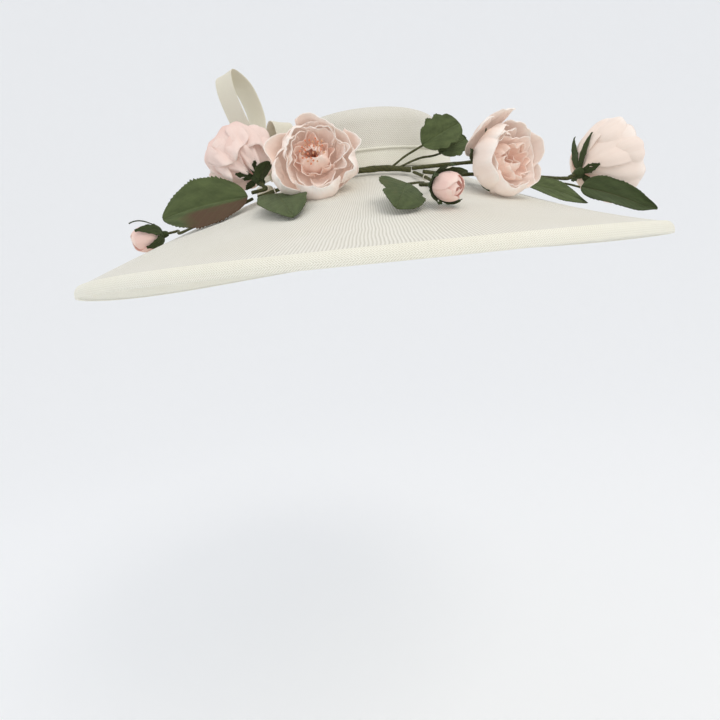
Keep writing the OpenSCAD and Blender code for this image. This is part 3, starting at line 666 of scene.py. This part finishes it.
def rose(name, body, place, bearing, rise, petals, inner_petals, heart_petals, finish, heart_finish,
         sink=0.0):
    """Rose of three nested whorls of petals, each whorl one piece. The silk hangs sink millimetres
    lower than the wired middle."""
    r = ROSE_R[name]
    where = facing(place, bearing, rise)
    inner_z = nest(r, 0.74, 1.2)
    heart_z = inner_z - (r * 0.74 - 1.2) * 1.2 + r * 0.46 * 1.45 + REST_GAP
    tag = sum(map(ord, name))
    for part, rows, share, long, z, look, slot in (
            ("outer", petals, 1.0, 1.0, 0, finish, None),
            ("inner", inner_petals, 0.74, 1.2, inner_z, finish, None),
            ("heart", heart_petals, 0.46, 1.45, heart_z, heart_finish, "silk_peach")):
        skin = Skin()
        for i, row in enumerate(rows):
            row = dict(row)
            row.setdefault("seed", tag + 17 * i + len(part))
            scale = row.pop("scale", 1.0)
            shift = np.array(row.pop("push", (0, 0, 0)), float) + (sink, 0, z)
            petal(skin, where, r=r * share * scale, long=long, push=shift, **row)
        slot = slot or ("silk_mauve" if name == "left" else "silk_blush")
        piece(f"rose_{name}_{part}_silk", skin, look, body, [f"rose_{name}_{part}"], 0.45)


def cut(at, wide, start, stop, **shape):
    """Pattern of one petal: its place, half width and reach, and how it is shaped."""
    return dict(shape, at=at, wide=wide, start=start, stop=stop)


def whorl(count, first, **same):
    """Petals spread evenly round the axis, each a little different."""
    rows = []
    for i in range(count):
        row = dict(same)
        row["at"] = first + i * 360 / count + rng.uniform(-9, 9)
        row["scale"] = same.get("scale", 1.0) * (1 - 0.045 * (i % 3)) * rng.uniform(0.96, 1.03)
        row["stop"] = same["stop"] + rng.uniform(-8, 8)
        row["tone"] = same.get("tone", 0.6) + rng.uniform(-0.1, 0.1)
        rows.append(row)
    return rows


def core(tone=0.4, stop=158):
    """Crumpled middle that closes a whorl from inside."""
    return [cut(40 * k, 110, 20, stop, scale=0.8 - 0.1 * (k % 3), tip=0.3, spiral=1, up=-2 - k,
                 crumple=1.7, ruffle=0.9, waves=2.6, curl=-1, tone=tone + 0.08 * k) for k in (0, 4, 8, 2)]


LEFT = ([216.9, 47, 38.5], 130, 42)
FRONT = ([254.2, 53, 30], -88, 4)
RIGHT = ([306.5, 84, 31], -62, -4)
END = ([344.5, 132, 46.5], 24, 14)
BUD_FRONT = ([285, 104, 14.5], -52, -12)
BUD_LEFT = ([194.4, 128, 15.5], 196, -8)

rose("left", "hat", *LEFT,
     whorl(6, 20, wide=54, start=8, stop=100, scale=0.9, curl=3, ruffle=1.6, tone=0.6, tip=0.3, crumple=1.7)
     + [cut(126, 44, 104, 44, scale=1.0, curl=3, ruffle=2.2, waves=3.4, tone=0.85, crumple=1.6),
        cut(62, 46, 108, 40, scale=0.98, curl=3, ruffle=2.2, waves=3, tone=0.8, crumple=1.7),
        cut(188, 46, 108, 46, scale=0.98, curl=3, ruffle=2.0, waves=3, tone=0.75, crumple=1.7),
        cut(98, 40, 76, 20, scale=0.97, curl=2.5, ruffle=2.2, waves=3.6, tone=0.7, crumple=1.5),
        cut(158, 40, 78, 18, scale=0.96, curl=2.5, ruffle=2.2, waves=3.2, tone=0.7, crumple=1.5),
        cut(290, 80, 10, 125, scale=0.6, out=13, up=1, curl=-1.5, tone=0.8, tip=0.3, crumple=1.2),
        cut(10, 80, 10, 120, scale=0.52, out=14, up=-2, curl=-1.5, tone=0.8, crumple=1.2),
        cut(215, 80, 10, 125, scale=0.6, out=13, up=2, curl=-1.5, tone=0.8, tip=0.3, crumple=1.2)],
     whorl(5, 50, wide=62, start=15, stop=116, curl=2, ruffle=1.4, tone=0.7, tip=0.3, crumple=1.4),
     whorl(4, 0, wide=80, start=25, stop=138, curl=0.8, crumple=0.8, tone=0.6, tip=0.25) + core(0.5),
     silk_mauve, silk_mauve)
rose("front", "hat", *FRONT,
     [cut(180, 58, 10, 92, scale=0.86, curl=2, tone=0.6, tip=0.3, crumple=1.0, push=(2, 0, 0)),
      cut(225, 54, 10, 104, scale=0.95, curl=-4, ruffle=1.5, tone=0.7, tip=0.35, crumple=1.6,
           push=(3, -1, 0)),
      cut(138, 62, 10, 100, scale=1.0, curl=1.5, ruffle=1.0, waves=2.4, tone=0.9, tip=0.22,
           crumple=1.1, push=(4, 0, 2)),
      cut(268, 50, 10, 98, scale=1.03, curl=3, ruffle=1.8, waves=2.6, tone=0.65, crumple=1.3),
      cut(40, 56, 10, 94, scale=0.96, curl=2, ruffle=1.4, tone=0.65, push=(1, 1, 0)),
      cut(84, 46, 12, 106, scale=1.07, curl=3, ruffle=2.6, waves=3.6, tone=0.85, crumple=1.4),
      cut(2, 86, 18, 136, scale=0.58, out=17, up=5, curl=-3, tone=0.9, tip=0.25, crumple=0.7),
      cut(306, 84, 18, 124, scale=0.56, out=19, up=4, curl=-2, tone=0.9, tip=0.28, crumple=0.7),
      cut(60, 70, 18, 124, scale=0.54, out=18, up=4, curl=-2, ruffle=1.6, waves=3, tone=0.8)],
     [cut(234, 60, 18, 112, scale=0.95, curl=-3, ruffle=1.4, tone=0.7, tip=0.35, crumple=1.5),
      cut(245, 80, 18, 120, scale=0.5, out=12, up=2, curl=-2.5, tone=0.85, crumple=1.0),
      cut(165, 56, 18, 102, scale=0.92, curl=2, ruffle=1.3, tone=0.7, tip=0.35, crumple=1.4),
      cut(148, 80, 18, 116, scale=0.55, out=11, up=1, curl=-2, tone=0.8, crumple=1.1),
      cut(105, 56, 18, 106, scale=0.98, curl=2.5, ruffle=2.2, waves=3, tone=0.75, crumple=1.3),
      cut(80, 76, 18, 118, scale=0.5, out=13, up=2, curl=2, ruffle=2.4, waves=3.4, tone=0.85),
      cut(290, 54, 18, 100, scale=0.95, curl=2, ruffle=1.4, tone=0.65),
      cut(20, 76, 18, 112, scale=0.52, out=11, up=1, curl=2, ruffle=1.6, tone=0.8),
      cut(345, 54, 18, 96, scale=0.95, curl=2, ruffle=1.2, tone=0.65)],
     whorl(6, 10, wide=56, start=25, stop=110, curl=1.5, ruffle=1.6, waves=3, tone=0.6, crumple=1.2)
     + core(0.55),
     silk_blush, silk_peach, sink=1.5)
rose("right", "hat", *RIGHT,
     [cut(236, 62, 8, 112, scale=0.98, curl=-3, ruffle=1.2, tone=0.8, tip=0.28, crumple=1.2),
      cut(275, 62, 8, 120, scale=1.0, curl=-2, ruffle=0.8, tone=0.8, tip=0.3, crumple=0.9),
      cut(345, 88, 16, 134, scale=0.62, out=12, up=4, curl=-3, tone=0.95, tip=0.25, crumple=0.6),
      cut(188, 34, 8, 112, scale=1.12, curl=5, tone=0.85, point=0.55, tip=0.3, push=(0, -4, -2)),
      cut(214, 36, 8, 108, scale=1.08, curl=5, tone=0.8, point=0.5, tip=0.3, push=(0, -3, -2)),
      cut(150, 50, 8, 102, scale=0.92, curl=2, tone=0.75, crumple=1.2),
      cut(95, 52, 8, 106, scale=0.98, curl=2, ruffle=1.6, tone=0.72, crumple=1.2),
      cut(40, 52, 8, 108, scale=0.98, curl=2, ruffle=1.4, tone=0.75, crumple=1.0)],
     whorl(6, 40, wide=58, start=18, stop=108, curl=2, ruffle=1.5, tone=0.7, crumple=1.3, push=(2, 4, 0))
     + [cut(210, 80, 18, 124, scale=0.62, out=9, up=2, curl=-2, ruffle=1.2, tone=0.85, crumple=1.0)],
     whorl(6, 10, wide=56, start=25, stop=116, curl=1, ruffle=1.6, waves=3.5, tone=0.6, push=(3, 6, 1))
     + core(0.5),
     silk_blush, silk_peach, sink=3.0)
rose("end", "end_rose", *END,
     [cut(215, 60, 8, 102, scale=1.03, curl=3, ruffle=1.2, tone=0.8, tip=0.3, crumple=1.3),
      cut(280, 60, 8, 106, scale=1.0, curl=2, tone=0.78, tip=0.3, crumple=1.2),
      cut(150, 60, 8, 104, scale=1.0, curl=3, ruffle=1.2, tone=0.8, tip=0.3, crumple=1.4),
      cut(350, 60, 8, 98, scale=1.0, curl=3, ruffle=1.6, tone=0.72, crumple=1.4),
      cut(70, 60, 8, 102, scale=1.0, curl=3, tone=0.75, crumple=1.2),
      cut(195, 70, 8, 112, scale=0.68, out=14, up=0, curl=2.5, tone=0.85, tip=0.3, crumple=1.1),
      cut(255, 84, 12, 126, scale=0.64, out=14, up=3, curl=-2, tone=0.85, tip=0.28, crumple=1.0),
      cut(315, 84, 12, 124, scale=0.6, out=15, up=2, curl=-2, ruffle=1.4, tone=0.85, crumple=1.2)],
     whorl(5, 20, wide=64, start=18, stop=112, curl=2, ruffle=1.3, tone=0.72, crumple=1.2),
     whorl(5, 0, wide=66, start=28, stop=128, curl=1, tone=0.6) + core(0.55),
     silk_cream, silk_peach)

# Stamens: starched threads, orange-pink, with sugared tips
stamen_mat, tree, shader = material("starched_thread")
tone = node(tree, "Attribute", {"attribute_name": "tone"}).outputs["Fac"]
grain = noise(tree, node(tree, "TexCoord").outputs["Object"], 900.0, 2.0)
colour = ramp(tree, math_of(tree, "MULTIPLY_ADD", grain, 0.3, math_of(tree, "MULTIPLY", tone, 0.8)),
              [(0.1, "#F2D6A8"), (0.55, "#F0B08E"), (1.0, "#F09A78")])
tree.links.new(colour, shader.inputs["Base Color"])
fixed(shader, {"Roughness": 0.6})
bump(tree, shader, grain, 0.15)


def tube(skin, path, radius, sides=12, tone=0.5, twist=0.0, ridge=0.0, ends=True):
    """Round rod along a path of points; radius is one number or one for each point. ridge makes
    twist lobes wind round it."""
    path = np.asarray(path, float)
    along = unit(np.gradient(path, axis=0))
    hint = np.array([0, 0, 1.0]) if np.abs(along[:, 2]).mean() < 0.9 else np.array([1.0, 0, 0])
    across = unit(np.cross(along, hint))
    over = np.cross(across, along)
    length = np.concatenate([[0], np.cumsum(np.linalg.norm(np.diff(path, axis=0), axis=1))])[:, None]
    a = np.linspace(0, 360, sides, endpoint=False)[None]
    r = np.broadcast_to(np.asarray(radius, float), len(path))[:, None]
    r = r * (1 + ridge * cosd(2 * a + twist * length))
    p = path[:, None] + across[:, None] * (r * cosd(a))[..., None] + over[:, None] * (r * sind(a))[..., None]
    uv = np.stack(np.broadcast_arrays(a / 360 * 2 * math.pi * float(np.mean(radius)), length), -1)
    skin.add(p, uv, tone, closed=(False, True), caps=ends, flip=False)


turn, middle = facing(*FRONT)
r = ROSE_R["front"]
foot = nest(r, 0.74, 1.2) - (r * 0.74 - 1.2) * 1.2 + 1.2 * 1.45 + REST_GAP * 2 + 2
skin = Skin()
for i in range(30):
    a, tilt = i * 137.5, 0.9 + 4.6 * (i / 30) ** 0.5
    reach = foot + r * (0.93 + 0.1 * math.sin(i * 2.4))
    line = np.array([[tilt * 0.6 * cosd(a), tilt * 0.6 * sind(a), foot + 1],
                     [tilt * 1.0 * cosd(a), tilt * 1.0 * sind(a), (foot + reach) / 2],
                     [tilt * 1.7 * cosd(a + 12), tilt * 1.7 * sind(a + 12), reach]])
    line = smooth_curve(line, 5)
    tube(skin, line @ turn.T + middle, 0.22, 6, 0.55)
    ball = np.array([[0, 0, k] for k in np.linspace(-1, 1, 7)]) * 1.1 + line[-1]
    tube(skin, ball @ turn.T + middle, 0.75 * np.sqrt(1.02 - np.linspace(-1, 1, 7) ** 2), 8,
         0.9 if i % 3 else 0.3)
line = np.array([[0, 0, foot], [0, 0, foot + 1], [0, 0, foot + 2], [0, 0, foot + 3]])
tube(skin, line @ turn.T + middle, [3.6, 4, 3.8, 2.4], 20, 0.5)
piece("rose_front_stamen_threads", skin, stamen_mat, "hat", ["rose_front_stamens"])

# ---- Leaves ----


def leaf_cloth(name, dark, mid, turned, midrib):
    """Pressed cotton velvet, printed with veins: a matt leaf whose tone drifts between green and
    red-brown, with a dusty nap that catches the light at a slant."""
    made, tree, shader = material(name)
    uv = node(tree, "UVMap", {"uv_map": "UVMap"}).outputs[0]
    split = node(tree, "SeparateXYZ", in0=uv)
    u, v = split.outputs[0], split.outputs[1]
    tone = node(tree, "Attribute", {"attribute_name": "tone"}).outputs["Fac"]
    side = math_of(tree, "ABSOLUTE", u)
    spot = noise(tree, mapped(tree, uv, (3, 4, 1)), 1.0, 4.0, 0.6)
    veins = math_of(tree, "SINE", math_of(tree, "MULTIPLY", math_of(tree, "SUBTRACT", v,
                    math_of(tree, "MULTIPLY", side, 0.28)), 2 * math.pi * 9))
    vein = math_of(tree, "POWER", math_of(tree, "MULTIPLY_ADD", veins, 0.5, 0.5), 5.0)
    rib = math_of(tree, "SUBTRACT", 1.0, math_of(tree, "MINIMUM", math_of(tree, "MULTIPLY", side, 22.0), 1.0))
    colour = ramp(tree, spot, [(0.25, dark), (0.7, mid)])
    drift = math_of(tree, "MULTIPLY_ADD", spot, 0.7, math_of(tree, "SUBTRACT", tone, 0.35))
    turn_share = node(tree, "Clamp", in0=math_of(tree, "MULTIPLY_ADD", drift, 2.2, -0.8)).outputs[0]
    colour = blend_of(tree, turn_share, colour, turned)
    colour = blend_of(tree, math_of(tree, "MULTIPLY", vein, math_of(tree, "MULTIPLY", spot, 0.1)), colour,
                      midrib)
    colour = blend_of(tree, math_of(tree, "MULTIPLY", rib, 0.4), colour, midrib)
    tree.links.new(colour, shader.inputs["Base Color"])
    fixed(shader, {"Roughness": 0.85, "Sheen Weight": 0.25, "Sheen Roughness": 0.5,
                   "Sheen Tint": linear("#A9B89A"), "Specular IOR Level": 0.25})
    nap = noise(tree, mapped(tree, uv, (70, 120, 1)), 1.0, 3.0, 0.6)
    height = math_of(tree, "MULTIPLY_ADD", vein, -0.3, math_of(tree, "MULTIPLY_ADD", nap, 0.35,
                     math_of(tree, "MULTIPLY", rib, -0.8)))
    bump(tree, shader, height, 0.4, 0.8)
    return made


green_leaf = leaf_cloth("green_cotton_velvet", "#414A2C", "#5D6A42", "#5A4434", "#6F7850")
dark_leaf = leaf_cloth("dark_green_cotton_velvet", "#2E381C", "#465330", "#4A3A28", "#573E2A")
brown_leaf = leaf_cloth("green_brown_cotton_velvet", "#3C4628", "#56623C", "#53442F", "#646844")


def leaf(name, root, tip, width, roll=0.0, rise=2.0, fold=0.12, finish=None, body="hat",
         outline=None, teeth=26, tooth=0.05, warp=1.0, turned=(0, 0), dip=0.0, seed=0, steps=(31, 71)):
    """Leaf from root to tip: its outline is a sine that is fuller near the root, cut into small
    teeth; it arches by rise, folds up along the midrib by fold, and warps in slow waves. The
    blade is pressed down along its side veins. turned gives the red-brown share on each side."""
    draw = np.random.default_rng(500 + seed)
    start, stop = over_brim(root), over_brim(tip)
    axis = stop - start
    level = unit(np.cross([0, 0, 1.0], axis))
    over = unit(np.cross(axis, level))
    side = level * cosd(roll) + over * sind(roll)
    top = over * cosd(roll) - level * sind(roll)
    u = np.linspace(-1, 1, steps[0])[:, None]
    v = np.linspace(0, 1, steps[1])[None]
    shape = outline(v, u) if outline else np.sin(np.pi * v ** 0.85) ** 0.66
    half_w = width / 2 * (0.03 + 0.97 * shape)
    saw = (v * teeth + 0.35 * np.sin(7 * v + 2 * seed)) % 1.0 * (1 + 0.6 * np.sin(23 * v + seed))
    half_w = half_w * (1 + tooth * (saw - 0.5) * ease(v, 0.05, 0.2) * ease(np.abs(u), 0.7, 1.0)) * (1 + 0 * u)
    phase = draw.uniform(0, 6.28, 5)
    veins = np.cos(2 * np.pi * 9 * (v - 0.28 * np.abs(u)))
    lift = half_w * np.abs(u) * fold * 2 + rise * np.sin(np.pi * v) \
        + warp * (np.sin(3 * v + 2 * u + phase[0]) * np.abs(u) * 0.9
                  + np.sin(9 * v + phase[1] + 1.5 * np.sign(u)) * u ** 2 * 0.7) \
        - 0.07 * np.maximum(veins, 0) ** 3 * ease(np.abs(u), 0.03, 0.2) - 0.35 * (1 - ease(np.abs(u), 0, 0.06)) \
        - dip * ease(v, 0.75, 1.0) ** 1.5
    p = start + axis * v[..., None] + side * (half_w * u)[..., None] + top * (lift + LEAF_T / 2)[..., None]
    tone = np.where(u < 0, turned[0], turned[1]) * ease(np.abs(u), 0, 0.3) * (1 - 0.8 * ease(v, 0.55, 0.95))
    skin = Skin()
    skin.add(p, np.stack(np.broadcast_arrays(u, v), -1), tone)
    piece(name + "_velvet", skin, finish or green_leaf, body, [name], 0.5)


def scalloped(v, u):
    """Nearly round, broadest past the middle, with four deep scallops on each side."""
    return 1.06 * np.sin(np.pi * v ** 1.05) ** 0.48 * (1 - 0.13 * np.abs(np.cos(np.pi * 4 * v)) ** 3)


def tapered(v, u):
    """Fullest near the root, drawn out to a long tip."""
    return np.sin(np.pi * v ** 0.62) ** 0.8


def two_lobed(v, u):
    """Round, with two notches on each side, deeper on the right."""
    notches = 0.24 * np.exp(-((v - 0.55) / 0.06) ** 2) + 0.18 * np.exp(-((v - 0.3) / 0.05) ** 2)
    return np.sin(np.pi * v ** 0.9) ** 0.5 * (1 - notches * np.where(u > 0, 1, 0.6))


def lobed(v, u):
    """A long lobe to one side near the root, a waist after it, and a broad lobe at the tip."""
    left = 1.15 - 0.4 * np.exp(-((v - 0.6) / 0.1) ** 2) - 0.3 * ease(v, 0.5, 1)
    right = 0.8 + 0.35 * ease(v, 0.3, 0.8) - 0.12 * np.exp(-((v - 0.5) / 0.07) ** 2)
    return np.where(u < 0, left, right) * np.sin(np.pi * v ** 0.9) ** 0.5


leaf("leaf_big", [230, 62, 9], [217, 116, 18], 43, -62, 3, teeth=24, tooth=0.07, turned=(0.0, 0.85), warp=1.3,
     steps=(41, 97), seed=1)
leaf("leaf_behind", [219, 78, 17.5], [213.5, 101, 30], 15, -60, 1, seed=2)
leaf("leaf_under", [240, 56, 5.5], [255, 103, 2], 34, 9, 2, 0.06, brown_leaf, turned=(0.2, 0.1),
     seed=3, warp=0.8)
leaf("leaf_sliver", [229.5, 48, 16.5], [233.5, 43, 27.5], 14, -20, 1, seed=4, warp=0.4, finish=dark_leaf)
leaf("leaf_round", [293.2, 27, 23.2], [307.6, 38, 43.5], 28, 65, 1, outline=scalloped, body="round_leaf",
     turned=(0.3, 0.15), seed=5, teeth=16, tooth=0.04)
leaf("leaf_middle", [301.5, 27.2, 17.5], [312.5, 36, 32], 23, 62, 1, outline=two_lobed, seed=6,
     turned=(0.1, 0.35))
leaf("leaf_lobed", [279, 75, 9.5], [274.6, 110, 4.4], 31, -26, 2, 0.06, brown_leaf, "lobed_leaf",
     outline=lobed, turned=(0.4, 0.2), seed=7, warp=1.2, teeth=14)
leaf("leaf_long", [321.5, 72, 9.5], [333.6, 113, 5.5], 21, 50, 2, 0.08, seed=8, warp=0.8)
leaf("leaf_curled", [334, 109, 17.5], [335.9, 163, 7.5], 31, 50, 3, 0.12, dark_leaf, "curled_leaf",
     outline=tapered, teeth=18, turned=(0.1, 0.0), seed=9, warp=1.4, dip=-3)


def hip_end(r, hip_h, long=1.0):
    return (r * 1.05 + REST_GAP + LEAF_T) * long + hip_h


def calyx(name, body, place, bearing, rise, r, reach, hip_r, hip_h, long, sepals, stands_for):
    """Green hip with sepals spread over the back of the flower. Each sepal is a narrow patch just
    outside the flower's ball, pointed, with small side lobes, its tip lifted away."""
    turn, middle = facing(place, bearing, rise)
    skin = Skin()
    near = r * 1.05 + REST_GAP + 0.5
    for i, (at, stop, wide, lift) in enumerate(sepals):
        u = np.linspace(-1, 1, 11)[:, None]
        v = np.linspace(0, 1, 36)[None]
        lobes = 0.55 * np.exp(-((v - 0.42) / 0.05) ** 2) + 0.45 * np.exp(-((v - 0.66) / 0.05) ** 2)
        width = wide * (1.7 * np.sin(np.pi * np.clip(v * 0.9 + 0.08, 0, 1)) ** 0.7 * (1 - 0.55 * v)
                        + 0.7 * lobes + 0.22 * np.abs(np.sin(14 * v)) * v) + 0.03
        a = 6 + (stop - 6) * v
        radius = near + lift * ease(v, 0.4, 1) + 0.5 * np.sin(6 * v + i) * v - 0.6 * (1 - np.abs(u)) * v
        off = width * u
        p = np.stack([radius * sind(a) * cosd(at) - off * sind(at), radius * sind(a) * sind(at) + off * cosd(at),
                      -radius * long * cosd(a)], -1)
        uv = np.stack(np.broadcast_arrays(u, v), -1)
        skin.add(p @ turn.T + middle, uv, 0.0)
    end_z = -hip_end(r, hip_h, long)
    h = np.linspace(0, 1, 15)[:, None]
    t = np.linspace(0, 360, 24, endpoint=False)[None]
    hip = (STEM_D * 0.55 + (hip_r - STEM_D * 0.55) * np.sin(np.pi / 2 * h ** 0.8)) * (1 + 0.04 * cosd(5 * t))
    z = end_z + (hip_h + 0.8) * h
    tip = np.stack(np.broadcast_arrays(hip * cosd(t), hip * sind(t), z), -1)
    skin.add(tip @ turn.T + middle, np.stack(np.broadcast_arrays(t / 360 * 2 - 1, h), -1), 0.1,
             closed=(False, True), caps=True)
    piece(name, skin, dark_leaf, body, stands_for, 0.4)


calyx("rose_left_sepals", "hat", *LEFT, ROSE_R["left"], 42, 4, ROSE_HIP_H, 1.0,
      [(20 + 72 * i, 27 + 6 * (i % 2), 2.4, 1.0) for i in range(5)], ["rose_left_calyx"])
calyx("rose_front_sepals", "hat", *FRONT, ROSE_R["front"], 34, 4, ROSE_HIP_H, 1.0,
      [(10 + 72 * i, 52 + 10 * (i % 2), 2.8, 2.0) for i in range(5)], ["rose_front_calyx"])
calyx("rose_right_sepals", "hat", *RIGHT, ROSE_R["right"], 36, 4, ROSE_HIP_H, 1.0,
      [(200, 70, 2.8, 1.5), (262, 76, 2.8, 1.2), (330, 80, 2.6, 1.5), (40, 60, 2.6, 1), (120, 60, 2.6, 1)],
      ["rose_right_calyx"])
calyx("rose_end_sepals", "end_rose", *END, ROSE_R["end"], 60, 4.5, ROSE_HIP_H, 1.0,
      [(196, 60, 2.0, 2.5), (158, 62, 2.6, 3.5), (262, 34, 2.4, 1), (330, 30, 2.4, 1), (75, 32, 2.4, 1)],
      ["rose_end_calyx"])


def bud(name, body, place, bearing, rise, sepals):
    """Egg of wrapped petals, each rolled in at its tip, in a cup of jagged sepals."""
    r = BUD_R[name]
    where = facing(place, bearing, rise)
    skin = Skin()
    wrapped = ((30, 172, 0.3, 0.86), (150, 168, 0.45, 0.9), (270, 170, 0.4, 0.94), (80, 150, 0.75, 0.98),
               (215, 152, 0.55, 1.0), (335, 146, 0.5, 1.02))
    for i, (at, stop, tone, scale) in enumerate(wrapped):
        petal(skin, where, at=at, wide=72, start=6, stop=stop, r=r * scale, long=BUD_LONG, curl=0.5, ruffle=0.2,
              crumple=0.18, tone=tone, tip=0.3, spiral=0.5, seed=31 * i + len(name))
    piece(f"bud_{name}_silk", skin, silk_bud, body, [f"bud_{name}"], 0.35)
    calyx(f"bud_{name}_jagged_sepals", body, place, bearing, rise, r, 75, 3, BUD_HIP_H, BUD_LONG, sepals,
          [f"bud_{name}_sepals"])


bud("front", "front_bud", *BUD_FRONT, [(190, 114, 3.0, 4.0), (140, 128, 3.4, 3.5), (240, 98, 3.0, 3.0),
                                       (325, 98, 3.0, 2.0), (35, 120, 3.2, 1.8)])
bud("left", "left_bud", *BUD_LEFT, [(180, 120, 3.2, 5.5), (120, 112, 3.6, 2.5), (232, 112, 4.0, 3.5),
                                    (286, 100, 4.0, 1.5), (52, 96, 3.4, 1.0)])

# ---- Stems ----

# Floral tape: waxed crepe paper wound round the wire at a slant, olive, darker where it overlaps
tape_mat, tree, shader = material("waxed_floral_tape")
uv = node(tree, "UVMap", {"uv_map": "UVMap"}).outputs[0]
split = node(tree, "SeparateXYZ", in0=uv)
wind = math_of(tree, "FRACT", math_of(tree, "MULTIPLY", math_of(tree, "MULTIPLY_ADD", split.outputs[0], 0.9,
                                                               split.outputs[1]), 1 / 4.5))
crepe = noise(tree, mapped(tree, uv, (1.2, 4, 1)), 1.0, 4.0, 0.65)
colour = ramp(tree, crepe, [(0.3, "#3B3E1C"), (0.7, "#5A5B2E")])
colour = blend_of(tree, math_of(tree, "POWER", wind, 6.0), colour, "#2B2C14")
tree.links.new(colour, shader.inputs["Base Color"])
fixed(shader, {"Roughness": 0.6, "Specular IOR Level": 0.4})
bump(tree, shader, math_of(tree, "ADD", wind, crepe), 0.25, 0.8)


def to_neck(list_, where, r, hip_h, long=1.0):
    """Waypoints over the brim, then straight into the neck of the flower."""
    place, bearing, rise = where
    ahead = np.array([cosd(bearing) * cosd(rise), sind(bearing) * cosd(rise), sind(rise)])
    back_ = hip_end(r, hip_h, long) + BEND_GAP
    neck = over_brim(place) - (back_ + np.array([8, 4, 0]))[:, None] * ahead
    return smooth_curve(np.concatenate([over_brim(list_), neck]), 10)


def stem(name, path, diameter, body="hat", more=(2.5, 1.5), lobes=0.06):
    """Tube of uneven width along the path, run on by more millimetres at its two ends, with a low
    spiral ridge where the tape laps over itself."""
    skin = Skin()
    first, last = unit(path[0] - path[1]), unit(path[-1] - path[-2])
    path = np.concatenate([[path[0] + first * more[0]], path, [path[-1] + last * more[1]]])
    steps = len(path)
    uneven = 1 + 0.05 * np.sin(np.arange(steps) * 0.9) + 0.03 * np.sin(np.arange(steps) * 2.3)
    tube(skin, path, diameter / 2 * uneven, 16, twist=9, ridge=lobes)
    piece(name + "_tape", skin, tape_mat, body, [name])


def free(list_):
    """Smooth path through waypoints over the brim."""
    return smooth_curve(over_brim(list_), 10)


stem("stem_bundle", free([[262, 17, 4.5], [267, 16.5, 4.5], [277, 18, 5], [287, 24, 5]]), BUNDLE_D, lobes=0.12)
stem("stem_left", free([[247, 28, 5], [241.8, 31.3, 5.5], [234.4, 43, 5.5], [229.5, 50, 5]]), STEM_D)
stem("stem_left_rose", to_neck([[228, 51.5, 9.5]], LEFT, ROSE_R["left"], ROSE_HIP_H), STEM_D)
stem("stem_front_rose", to_neck([[258, 15, 5], [254, 17, 8.5]], FRONT, ROSE_R["front"], ROSE_HIP_H), STEM_D)
stem("stem_right_rose", to_neck([[289, 27.5, 7], [293, 33, 9.5]], RIGHT, ROSE_R["right"], ROSE_HIP_H), STEM_D)
stem("stem_end_rose", to_neck([[292, 33, 5.5], [300, 41, 6], [309.8, 50, 9], [320, 63, 13], [330.7, 78, 17.5]],
                              END, ROSE_R["end"], ROSE_HIP_H), STEM_D)
stem("stem_bud_front", to_neck([[288, 31, 4.5], [288.5, 46, 5.5], [287.5, 64, 6.5]], BUD_FRONT,
                               BUD_R["front"], BUD_HIP_H,
                               BUD_LONG), STEM_D * 0.75)
stem("stem_bud_left", to_neck([[226.8, 55, 5], [218.1, 67.7, 2.5], [207.9, 82.7, 2.5], [200, 98, 4]], BUD_LEFT,
                              BUD_R["left"], BUD_HIP_H, BUD_LONG), STEM_D * 0.8)
stem("stem_lobed_leaf", free([[284.6, 62, 6.5], [282.4, 69, 8.5], [279.3, 73.8, 9.3]]), STALK_D, "lobed_leaf")
stem("stem_round_leaf", free([[283, 20, 9.5], [287, 21, 14.5], [292.6, 26.3, 22.2]]), STALK_D, "round_leaf",
     (6, 1.5))
stem("stem_middle_leaf", free([[284.5, 20.5, 6.5], [289.5, 20.5, 10], [294, 22, 13], [298, 25, 15],
                               [301, 26.8, 17.2]]), STALK_D)
stem("stem_curled_leaf", free([[330.3, 92, 16], [332.4, 99, 17.5], [333.8, 106.8, 17.4]]), STALK_D,
     "curled_leaf")

# ---- CAD nodes that stay ----

# Drawn spring wire: bright steel with fine lines along it
steel, tree, shader = material("drawn_spring_wire")
where = node(tree, "TexCoord").outputs["Object"]
lines = noise(tree, mapped(tree, where, (300, 300, 4000)), 1.0, 2.0)
tree.links.new(ramp(tree, lines, [(0.3, "#A9A7A1"), (0.7, "#CFCDC7")]), shader.inputs["Base Color"])
fixed(shader, {"Metallic": 1.0, "Roughness": 0.35})
bump(tree, shader, lines, 0.03)

# Waxed cotton thread: two strands twisted, cream
cotton, tree, shader = material("waxed_cotton_thread")
where = node(tree, "TexCoord").outputs["Object"]
twist = noise(tree, mapped(tree, where, (1800, 1800, 1800)), 1.0, 2.0)
tree.links.new(ramp(tree, twist, [(0.3, "#CFC8B4"), (0.7, "#F0EADC")]), shader.inputs["Base Color"])
fixed(shader, {"Roughness": 0.5})
bump(tree, shader, twist, 0.1)

# The little bow at the back of the ribbon: the same ribbed cotton, read from its place
bow_cotton, tree, shader = material("ribbed_cotton_bow")
where = node(tree, "TexCoord").outputs["Object"]
x = node(tree, "SeparateXYZ", in0=where).outputs[0]
cords = math_of(tree, "MULTIPLY_ADD", math_of(tree, "SINE", math_of(tree, "MULTIPLY", x, 2 * math.pi / (1.1 * MM))),
                0.5, 0.5)
# The grooves between the cords are painted darker: painted shade
tree.links.new(ramp(tree, cords, [(0.1, "#CFC3AB"), (0.8, "#F1E8D6")]), shader.inputs["Base Color"])
fixed(shader, {"Roughness": 0.7, "Sheen Weight": 0.2})
bump(tree, shader, cords, 0.2)

for name, finish in (("edge_wire", steel), ("head_wire", steel), ("tie_front", cotton), ("tie_left", cotton),
                     ("ribbon_bow", bow_cotton)):
    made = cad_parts[name]
    if made.data.materials:
        for i in range(len(made.data.materials)):
            made.material_slots[i].material = finish
    else:
        made.data.materials.append(finish)
